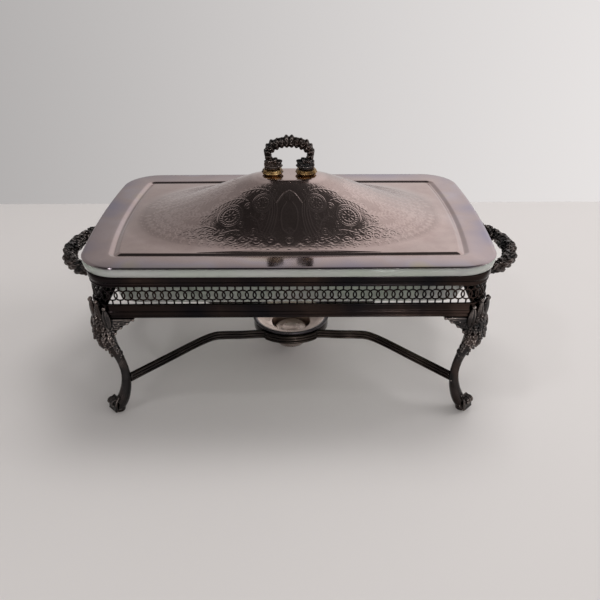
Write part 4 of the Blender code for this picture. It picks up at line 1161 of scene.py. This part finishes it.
def leg_bracket(side, across, hand):
    """One leaf bracket under the frame: volutes, a plate and leaves that fan out over its edge."""
    bodies = []
    for reach, drop, out_by, radius, wire in (
        (0.0110, 0.0100, 0.0052, 0.0054, 0.0013), (0.0120, 0.0260, 0.0030, 0.0042, 0.0012),
    ):
        level = np.array((0, 0, FRAME_BOTTOM - drop))
        eye = LEG_CORNER + across * reach + side * (out_by - 0.0040) + level
        bodies.append(curl(eye, side, (0, 0, 1), radius, 1.6, wire, 0.0008, hand))

    def on(reach, drop, out_by=0.0):
        level = np.array((0, 0, FRAME_BOTTOM - GAP - drop))
        return LEG_CORNER - side * 0.0034 + across * reach + level + side * out_by

    edge = [
        (0.0000, 0.0000), (0.0420, 0.0000), (0.0410, 0.0022), (0.0365, 0.0044), (0.0350, 0.0072),
        (0.0300, 0.0088), (0.0270, 0.0122), (0.0222, 0.0150), (0.0204, 0.0196), (0.0178, 0.0236),
        (0.0166, 0.0300), (0.0120, 0.0350), (0.0040, 0.0350),
    ]
    bodies.append(plate(edge, on, 0.0044))
    for reach, drop, tip_reach, tip_drop, width in (
        (0.010, 0.0040, 0.0405, 0.0022, 0.0050), (0.010, 0.0070, 0.0345, 0.0060, 0.0062),
        (0.009, 0.0100, 0.0280, 0.0108, 0.0072), (0.009, 0.0150, 0.0222, 0.0170, 0.0076),
        (0.008, 0.0200, 0.0186, 0.0240, 0.0074), (0.007, 0.0240, 0.0160, 0.0312, 0.0066),
    ):
        root, tip = on(reach, drop, 0.0018), on(tip_reach, tip_drop, 0.0022)
        bodies.append(lobe(root, tip, side, width, 0.0040, 0.0008))
        bodies.append(ball(on(tip_reach - 0.0012, tip_drop, 0.0032), 0.0016))
    bodies.append(curl(on(0.0260, 0.0058, 0.0030), side, across, 0.0036, 1.4, 0.0011, 0.0006, hand))
    bodies.append(curl(on(0.0170, 0.0100, 0.0034), side, across, 0.0044, 1.4, 0.0012, 0.0006, hand))
    return bodies


def leg_paw():
    """Fluted toes over a rolled scroll."""
    foot = by_corner(0.0124, 0.0040, 0.0)
    bodies = [
        ball(foot + (0.0006, 0.0004, 0.0064), (0.0066, 0.0062, 0.0064), 20, 14),
        tube([foot + (0, 0, 0.0002), foot + (0, 0, 0.0040)], [0.0058, 0.0064], 24),
    ]
    sideways = np.array((0.69, -0.72, 0.0))
    for share in (-1.15, -0.7, -0.25, 0.25, 0.7, 1.15):
        start = foot + sideways * share * 0.0030 + LEG_OUT * 0.0010 + (0, 0, 0.0170)
        knuckle = foot + sideways * share * 0.0046 + LEG_OUT * 0.0056 + (0, 0, 0.0125)
        nail = foot + sideways * share * 0.0048 + LEG_OUT * 0.0064 + (0, 0, 0.0034)
        toe = through([start, knuckle, nail], 8)
        bodies.append(tube(toe, np.linspace(0.0011, 0.0016, len(toe)), 10))
        bodies.append(ball(nail + (0, 0, 0.0006), 0.0018))
    for share in (-1, 0, 1):
        scroll = foot + LEG_OUT * 0.0064 + sideways * share * 0.0034 + np.array((0, 0, 0.0128))
        bodies.append(curl(scroll, sideways, -LEG_OUT, 0.0034, 1.2, 0.0014, 0.0))
    return bodies


def leg_casting():
    """The front left leg: cabriole, with an acanthus knee, solid leaf brackets and a scrolled paw. Its
    middle line is given in from both walls, by share of the frame's height, with its radius."""
    spine = [
        (0.0078, 0.0070, 1.060, 0.0040), (0.0078, 0.0070, 0.960, 0.0074), (0.0082, 0.0072, 0.850, 0.0082),
        (0.0104, 0.0082, 0.760, 0.0074), (0.0136, 0.0088, 0.667, 0.0058), (0.0178, 0.0094, 0.562, 0.0046),
        (0.0214, 0.0094, 0.439, 0.0042), (0.0224, 0.0084, 0.343, 0.0045), (0.0212, 0.0074, 0.238, 0.0052),
        (0.0180, 0.0060, 0.138, 0.0060), (0.0140, 0.0044, 0.077, 0.0064), (0.0100, 0.0030, 0.064, 0.0050),
    ]
    rows = through(spine, 7)
    path = LEG_CORNER + np.column_stack([rows[:, 0], rows[:, 1], rows[:, 2] * FRAME_BOTTOM])
    ankle = slice(40, 64)
    ridge = path[ankle] + LEG_OUT * (rows[ankle, 3] * 0.72)[:, None]
    front, end = np.array((0.0, -1.0, 0.0)), np.array((-1.0, 0.0, 0.0))
    bodies = [tube(path, rows[:, 3], 18)]
    bodies += leg_crown() + leg_knee()
    bodies += leg_bracket(front, np.array((1.0, 0, 0)), 1) + leg_bracket(end, np.array((0, 1.0, 0)), -1)
    bodies.append(tube(ridge, 0.0016, 10))
    return bodies + leg_paw()


def legs():
    source = fused("leg_casting", leg_casting(), 0.00042, CAST, 1)
    low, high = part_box("leg_front_left")
    press(source, low, (high.x, high.y, FRAME_BOTTOM + 0.0200))
    clear_of_frame(source)
    for (x, y), label in CORNERS.items():
        made = mirrored(source, f"leg_casting_{label}", -x, -y)
        belong(made, "frame", "oxidised_silver", f"leg_{label}")
    bpy.data.objects.remove(source, do_unlink=True)


def clear_of_frame(made):
    """Above the frame's underside the casting stays outside its walls: what is inside moves out."""
    hx, hy = WALL.x + RIM_PROUD * 0.4, WALL.y + RIM_PROUD * 0.4
    turn = WALL_CORNER
    for vertex in made.data.vertices:
        place = vertex.co
        if place.z < FRAME_BOTTOM:
            continue
        x, y = place.x + hx - turn, place.y + hy - turn
        if x < 0 and y < 0:
            reach = math.hypot(x, y)
            if reach < turn:
                if reach < turn - 0.0060:
                    place.z = FRAME_BOTTOM
                else:
                    place.x += x * (turn / reach - 1)
                    place.y += y * (turn / reach - 1)
        elif place.x > -hx and place.y > -hy:
            place.z = min(place.z, FRAME_BOTTOM - GAP)


# ---------------------------------------------------------------- stretchers and burner
def strap_route(radius):
    """One strap's middle line: tab on the ankle, bend, shoulder and half way round the ring."""
    rivet_low, rivet_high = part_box("stretcher_rivet_front_left")
    rivet = (rivet_low + rivet_high) / 2
    normal = np.array(TAB_NORMAL)
    along = np.array((-normal[1], normal[0]))
    seat = np.array((rivet.x, rivet.y)) + normal * ((rivet_high - rivet_low).x * 0.31 - 0.0032)
    bend = np.array((-radius * 2.05, -radius * 0.88))
    start = seat - along * 0.0014 + normal * 0.0022
    points = [
        seat + along * 0.0040, seat + along * 0.0016, seat - along * 0.0006,
        seat - along * 0.0014 + normal * 0.0007, start,
        start + (bend - start) * 0.2, start + (bend - start) * 0.5, start + (bend - start) * 0.86,
        bend + (0.0060, 0.0024), (-radius * 1.62, -radius * 0.77), (-radius * 1.25, -radius * 0.76),
    ]
    for angle in (226, 234, 242, 250, 260, 270):
        points.append((radius * math.cos(math.radians(angle)), radius * math.sin(math.radians(angle))))
    line = through(np.array([tuple(p) for p in points]), 6)
    line[-1, 0] = 0.0
    return np.vstack([line, line[-2::-1] * (-1, 1)])


def straps():
    """Two reeded straps on edge, riveted to the ankles and bent round the burner's holder."""
    radius = HOLDER_HIGH.x + GAP + 0.0006 + STRAP_HALF
    level = (STRAP_LOW.z + STRAP_HIGH.z) / 2
    half, tall, ridge = STRAP_HALF, (STRAP_HIGH.z - STRAP_LOW.z) / 2, 0.0009
    section = [(-half, -tall), (half - 0.0004, -tall)]
    for reed in (-1, 0, 1):
        middle = reed * tall * 2 / 3
        for turn in np.linspace(-1.15, 1.15, 9):
            out = half - 0.0004 + (ridge + 0.0004) * math.cos(turn * math.pi / 2 / 1.15)
            section.append((out, middle + tall / 3 * 0.97 * math.sin(turn) / math.sin(1.15)))
    section += [(half - 0.0004, tall), (-half, tall)]
    line = strap_route(radius)
    for sign, label in ((1, "front"), (-1, "back")):
        path = at_height(line * (1, sign), level)
        if sign < 0:
            path = path[::-1]
        verts, faces = swept(path, section, closed=False)
        made = piece(f"strap_{label}", verts, faces, STRAP, weld=1e-8)
        made.data.set_sharp_from_angle(angle=math.radians(50))
        belong(made, "frame", "oxidised_silver", f"stretcher_{label}")


def rivets():
    profile = [(0.0, 0.0021), (0.0012, 0.0020), (0.0024, 0.0014), (0.0031, 0.0005), (0.0032, 0.0), (0.0, 0.0)]
    for (x, y), label in CORNERS.items():
        low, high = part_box(f"stretcher_rivet_{label}")
        middle = (low + high) / 2
        facing = Vector((-x * TAB_NORMAL.x, -y * TAB_NORMAL.y, 0))
        reach = (high - low).x * 0.62 / 2
        verts, faces = lathe(profile, 32, close=False)
        made = piece(f"rivet_{label}", verts, faces, STEEL, weld=1e-7)
        made.data.transform(facing.to_track_quat("Z", "Y").to_matrix().to_4x4())
        made.data.transform(Matrix.Translation(middle + facing * (reach - 0.0020)))
        belong(made, "frame", "screw_steel", f"stretcher_rivet_{label}")


def turned_piece(name, profile, finish, body, slot, node, closed=True):
    """A turned piece; a closed section is eased at its corners, an open one starts and ends on the axis."""
    points = [tuple(p) for p in rounded(profile, 0.0006, 3)] if closed else profile
    verts, faces = lathe(points, 112, close=closed)
    made = piece(name, verts, faces, finish, weld=1e-7)
    belong(made, body, slot, node)


def burner():
    top, low = PAN_HIGH.z, PAN_LOW.z
    outer, holder = PAN_HIGH.x, HOLDER_HIGH.x
    wall, sheet, well = 0.0020, 0.0012, 0.0226
    turned_piece(
        "burner_ring",
        [
            (holder - wall, HOLDER_HIGH.z), (holder, HOLDER_HIGH.z), (holder, HOLDER_LOW.z),
            (holder - wall, HOLDER_LOW.z),
        ],
        DARK, "frame", "oxidised_silver", "burner_holder",
    )
    rim_low = HOLDER_HIGH.z + GAP
    lip = holder - wall - 2 * GAP
    mouth = top - 0.0100
    profile = [
        (0.0, low), (well * 0.50, low), (well * 0.72, low + 0.0010), (well * 0.87, low + 0.0055),
        (well * 0.96, mouth - 0.0080), (well, mouth - sheet), (well + 0.0016, mouth - sheet),
        (lip, rim_low), (outer - 0.0006, rim_low), (outer, rim_low + 0.0008), (outer, top - 0.0010),
        (outer - 0.0009, top - 0.0001), (outer - 0.0020, top), (outer - 0.0030, top - 0.0008),
        (lip - 0.0006, top - 0.0010), (well + 0.0012, mouth + 0.0006), (well - 0.0004, mouth + 0.0008),
        (well - sheet, mouth - 0.0004), (well * 0.96 - sheet, mouth - 0.0080),
        (well * 0.87 - sheet, low + 0.0062), (well * 0.72 - sheet * 0.7, low + 0.0022),
        (well * 0.50, low + sheet), (0.0, low + sheet),
    ]
    turned_piece("burner_dish", profile, BURNER, "pan", "burner_metal", "burner_pan", closed=False)
    r, low, high = CUP_HIGH.x, CUP_LOW.z, CUP_HIGH.z
    profile = [
        (0.0, low), (r * 0.60, low), (r * 0.80, low + 0.0012), (r * 0.97, low + 0.0050), (r, high - 0.0006),
        (r - 0.0006, high), (r - sheet, high - 0.0006), (r * 0.97 - sheet, low + 0.0052),
        (r * 0.80 - sheet * 0.5, low + 0.0012 + sheet), (r * 0.60, low + sheet), (0.0, low + sheet),
    ]
    turned_piece("fuel_well", profile, BURNER, "cup", "burner_metal", "fuel_cup", closed=False)
    r, seat, high = CAP_HIGH.x, CUP_HIGH.z + GAP, CAP_HIGH.z
    plug = r - sheet - 2 * GAP
    profile = [
        (0.0, high - 0.0005), (r * 0.52, high - 0.0005), (r * 0.56, high - 0.0002), (r * 0.60, high - 0.0005),
        (r * 0.82, high - 0.0004), (r * 0.88, high), (r * 0.97, high - 0.0003), (r, high - 0.0008), (r, seat),
        (plug, seat), (plug, CAP_LOW.z), (plug - sheet, CAP_LOW.z), (plug - sheet, seat), (0.0, seat),
    ]
    turned_piece("fuel_cap", profile, BURNER, "cap", "burner_metal", "fuel_cup_cap", closed=False)


# ---------------------------------------------------------------- end handles
def end_handle_casting():
    """The right loop: a bar wrapped in overlapping curled leaves, with beads between them."""
    level = LOOP_LOW.z + 0.0088
    foot_x = WALL.x + 0.0009
    half_span = 0.0540
    reach = LOOP_HIGH.x - WALL.x - 0.0078
    half = [
        (foot_x + 0.0020, -half_span), (foot_x + reach * 0.26, -half_span * 1.02),
        (foot_x + reach * 0.58, -half_span * 0.86), (foot_x + reach * 0.84, -half_span * 0.56),
        (WALL.x + reach * 0.975, -half_span * 0.24), (WALL.x + reach, 0.0),
    ]
    quarter = through(np.array(half), 14)
    line = np.vstack([quarter, quarter[-2::-1] * (1, -1)])
    path = at_height(line, level)
    count = len(path)
    shares = np.linspace(0, 1, count)
    bodies = [tube(path, 0.0034 + 0.0008 * np.sin(math.pi * shares), 14)]
    tangents = np.gradient(path, axis=0)
    tangents /= np.linalg.norm(tangents, axis=1)[:, None]
    outward = np.column_stack([tangents[:, 1], -tangents[:, 0], np.zeros(count)])
    scatter = np.random.default_rng(5)
    for at in np.linspace(5, count - 6, 19).astype(int):
        grow = 0.82 + 0.22 * math.sin(math.pi * shares[at])
        way = 1 if shares[at] < 0.5 else -1
        bodies += end_handle_wreath(path[at], tangents[at], outward[at], way, grow, scatter)
    for sign in (-1, 1):
        bodies += end_handle_foot(np.array((foot_x, sign * half_span, level)), sign)
    return bodies


def end_handle_wreath(spot, tangent, outward, way, grow, scatter):
    """Leaves and seeds round the bar, all leaning the same way along it, with a curl above and below."""
    bodies = []
    up = np.array((0.0, 0.0, 1.0))
    for turn in np.arange(5) * 2 * math.pi / 5 + scatter.random() * 1.2:
        aim = outward * math.cos(turn) + up * math.sin(turn) * 0.85
        slide = (scatter.random() - 0.4) * 0.0042 * way
        start = spot + tangent * (slide - way * 0.0030) + aim * 0.0014
        reach = (0.0062 + 0.0012 * scatter.random()) * grow
        tip = spot + tangent * (slide + way * 0.0038) + aim * reach
        bodies.append(lobe(start, tip, aim, 0.0076 * grow, 0.0050, 0.0012))
        bodies.append(ball(tip - aim * 0.0006, (0.0013 + 0.0009 * scatter.random()) * grow, 12, 8))
    for lift in (-1, 1):
        eye = spot + up * lift * 0.0044 * grow + outward * (scatter.random() - 0.5) * 0.004
        bodies.append(curl(eye, up * lift, tangent * way, 0.0028, 1.3, 0.0009, 0.0005))
    return bodies


def end_handle_foot(foot, sign):
    """A boss on the frame's wall, with a fan of leaves round it."""
    bodies = [
        tube([foot + (0.0003, 0, -0.0052), foot + (0.0034, 0, -0.0052)], [0.0062, 0.0052], 20),
        tube([foot + (0.0003, 0, 0.0), foot + (0.0050, 0, 0.0)], [0.0070, 0.0044], 20),
    ]
    for turn in np.linspace(-2.2, 2.2, 7):
        aim = np.array((0.25, sign * math.sin(turn) * 0.9, math.cos(turn) * 0.8 - 0.2))
        aim /= np.linalg.norm(aim)
        start, tip = foot + (0.0012, 0, -0.002), foot + aim * 0.0095 + (0.001, 0, -0.002)
        bodies.append(lobe(start, tip, (1, 0, 0), 0.0056, 0.0036))
        bodies.append(ball(foot + aim * 0.0088 + (0.0020, 0, -0.002), 0.0015))
    return bodies


def end_handles():
    source = fused("end_handle_casting", end_handle_casting(), 0.00042, CAST, 1)
    low = (WALL.x + 0.0009, -LID_HALF.y, LOOP_LOW.z - 0.002)
    press(source, low, (LOOP_HIGH.x, LID_HALF.y, LOOP_HIGH.z + 0.002))
    for x, label in ((1, "right"), (-1, "left")):
        made = mirrored(source, f"end_handle_casting_{label}", x, 1)
        belong(made, "frame", "oxidised_silver", f"end_handle_{label}")
    bpy.data.objects.remove(source, do_unlink=True)


# ---------------------------------------------------------------- what the solids keep
def kept_nodes():
    """The screws keep their own meshes and take the steel finish."""
    for name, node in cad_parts.items():
        if "screw" in name:
            node.data.materials.clear()
            node.data.materials.append(STEEL)


# ---------------------------------------------------------------- studio
def plain(name, colour, roughness):
    made = Finish(name)
    tone = made.ramp(made.noise(2.0, 2.0), (0.3, tuple(c * 0.97 for c in colour)), (0.7, colour))
    made.set(Base_Color=tone, Roughness=roughness)
    made.shader.inputs["Specular IOR Level"].default_value = 0.2
    return made.material


def sheet_of(name, corners, finish):
    mesh = bpy.data.meshes.new(name)
    mesh.from_pydata(corners, [], [(0, 1, 2, 3)])
    mesh.materials.append(finish)
    made = bpy.data.objects.new(name, mesh)
    bpy.context.scene.collection.objects.link(made)
    return made


def studio():
    """The table: a pale floor whose back edge gives the photo's horizon."""
    back, wide, level = 0.452, 3.0, -0.0002
    floor = [(-wide, -wide, level), (wide, -wide, level), (wide, back, level), (-wide, back, level)]
    sheet_of("studio_floor", floor, plain("floor_paint", (0.74, 0.715, 0.70), 0.55))


def lamp(name, place, aim, size, power, colour=(1, 1, 1), glossy=True):
    data = bpy.data.lights.new(name, "AREA")
    data.shape = "RECTANGLE"
    data.size, data.size_y = size
    data.energy = power
    data.color = colour
    made = bpy.data.objects.new(name, data)
    bpy.context.scene.collection.objects.link(made)
    made.location = place
    made.rotation_euler = (Vector(aim) - Vector(place)).to_track_quat("-Z", "Y").to_euler()
    made.visible_glossy = glossy
    return made


def lights():
    lamp("key", (0.25, 0.40, 1.6), (0, 0, 0.1), (0.8, 0.6), 9.0, (1.0, 0.98, 0.97), glossy=False)
    lamp("side", (1.5, 0.1, 0.9), (0, 0.1, 0.1), (0.8, 0.8), 7.0, (1.0, 0.98, 0.99), glossy=False)
    lamp("sparkle", (0.30, -1.5, 0.95), (0, 0, 0.15), (0.12, 0.12), 1.6)
    lamp("sparkle_left", (-0.7, -0.5, 1.4), (0, 0, 0.15), (0.16, 0.16), 1.4)


def air():
    """The room: pale walls, brighter to the right, and a dark ceiling over the table."""
    world = bpy.data.worlds.new("studio_air")
    bpy.context.scene.world = world
    world.use_nodes = True
    tree = world.node_tree
    place = tree.nodes.new("ShaderNodeTexCoord").outputs["Generated"]
    parts = tree.nodes.new("ShaderNodeSeparateXYZ")
    tree.links.new(place, parts.inputs[0])

    def span(source, low, high, out_low, out_high):
        made = tree.nodes.new("ShaderNodeMapRange")
        for key, value in (("From Min", low), ("From Max", high), ("To Min", out_low), ("To Max", out_high)):
            made.inputs[key].default_value = value
        tree.links.new(source, made.inputs["Value"])
        return made.outputs["Result"]

    sky = tree.nodes.new("ShaderNodeValToRGB")
    elements = sky.color_ramp.elements
    stops = ((0.0, 0.46), (0.30, 0.46), (0.85, 0.44), (0.895, 0.045), (1.0, 0.030))
    while len(elements) < len(stops):
        elements.new(0.5)
    for element, (at, value) in zip(elements, stops):
        element.position = at
        element.color = (value, value * 0.965, value * 0.955, 1)
    widened = tree.nodes.new("ShaderNodeVectorMath")
    widened.operation = "MULTIPLY"
    widened.inputs[1].default_value = (0.50, 1.0, 1.0)
    tree.links.new(place, widened.inputs[0])
    unit = tree.nodes.new("ShaderNodeVectorMath")
    unit.operation = "NORMALIZE"
    tree.links.new(widened.outputs[0], unit.inputs[0])
    overhead = tree.nodes.new("ShaderNodeSeparateXYZ")
    tree.links.new(unit.outputs[0], overhead.inputs[0])
    tree.links.new(overhead.outputs["Z"], sky.inputs["Fac"])
    near = span(parts.outputs["X"], -0.5, 0.5, 0.88, 1.82)
    high = span(parts.outputs["X"], -0.35, 0.35, 0.76, 2.25)
    blend = tree.nodes.new("ShaderNodeMix")
    tree.links.new(span(parts.outputs["Z"], 0.0, 0.35, 0.0, 1.0), blend.inputs[0])
    tree.links.new(near, blend.inputs[2])
    tree.links.new(high, blend.inputs[3])
    background = tree.nodes["Background"]
    tree.links.new(sky.outputs["Color"], background.inputs["Color"])
    tree.links.new(blend.outputs[0], background.inputs["Strength"])


def camera():
    """The photo's camera: its place, its turns in radians and its lens, as solved from the lid's rim."""
    pitch, yaw, roll = 0.51253, 0.00369, -0.00287
    ahead = Vector((math.sin(yaw) * math.cos(pitch), math.cos(yaw) * math.cos(pitch), -math.sin(pitch)))
    right = Vector((math.cos(yaw), -math.sin(yaw), 0))
    up = right.cross(ahead)
    x = right * math.cos(roll) + up * math.sin(roll)
    y = -right * math.sin(roll) + up * math.cos(roll)
    data = bpy.data.cameras.new("view")
    data.lens = 40.8
    data.sensor_width = 36.0
    made = bpy.data.objects.new("view", data)
    bpy.context.scene.collection.objects.link(made)
    turn = Matrix((x, y, -ahead)).transposed().to_4x4()
    made.matrix_world = Matrix.Translation((0.00789, -0.66220, 0.43283)) @ turn
    bpy.context.scene.camera = made


lid_cover()
lid_handle()
collars()
glass_dish()
rims()
galleries()
legs()
straps()
rivets()
burner()
end_handles()
kept_nodes()
studio()
lights()
air()
camera()
bpy.context.scene.view_settings.view_transform = "Standard"
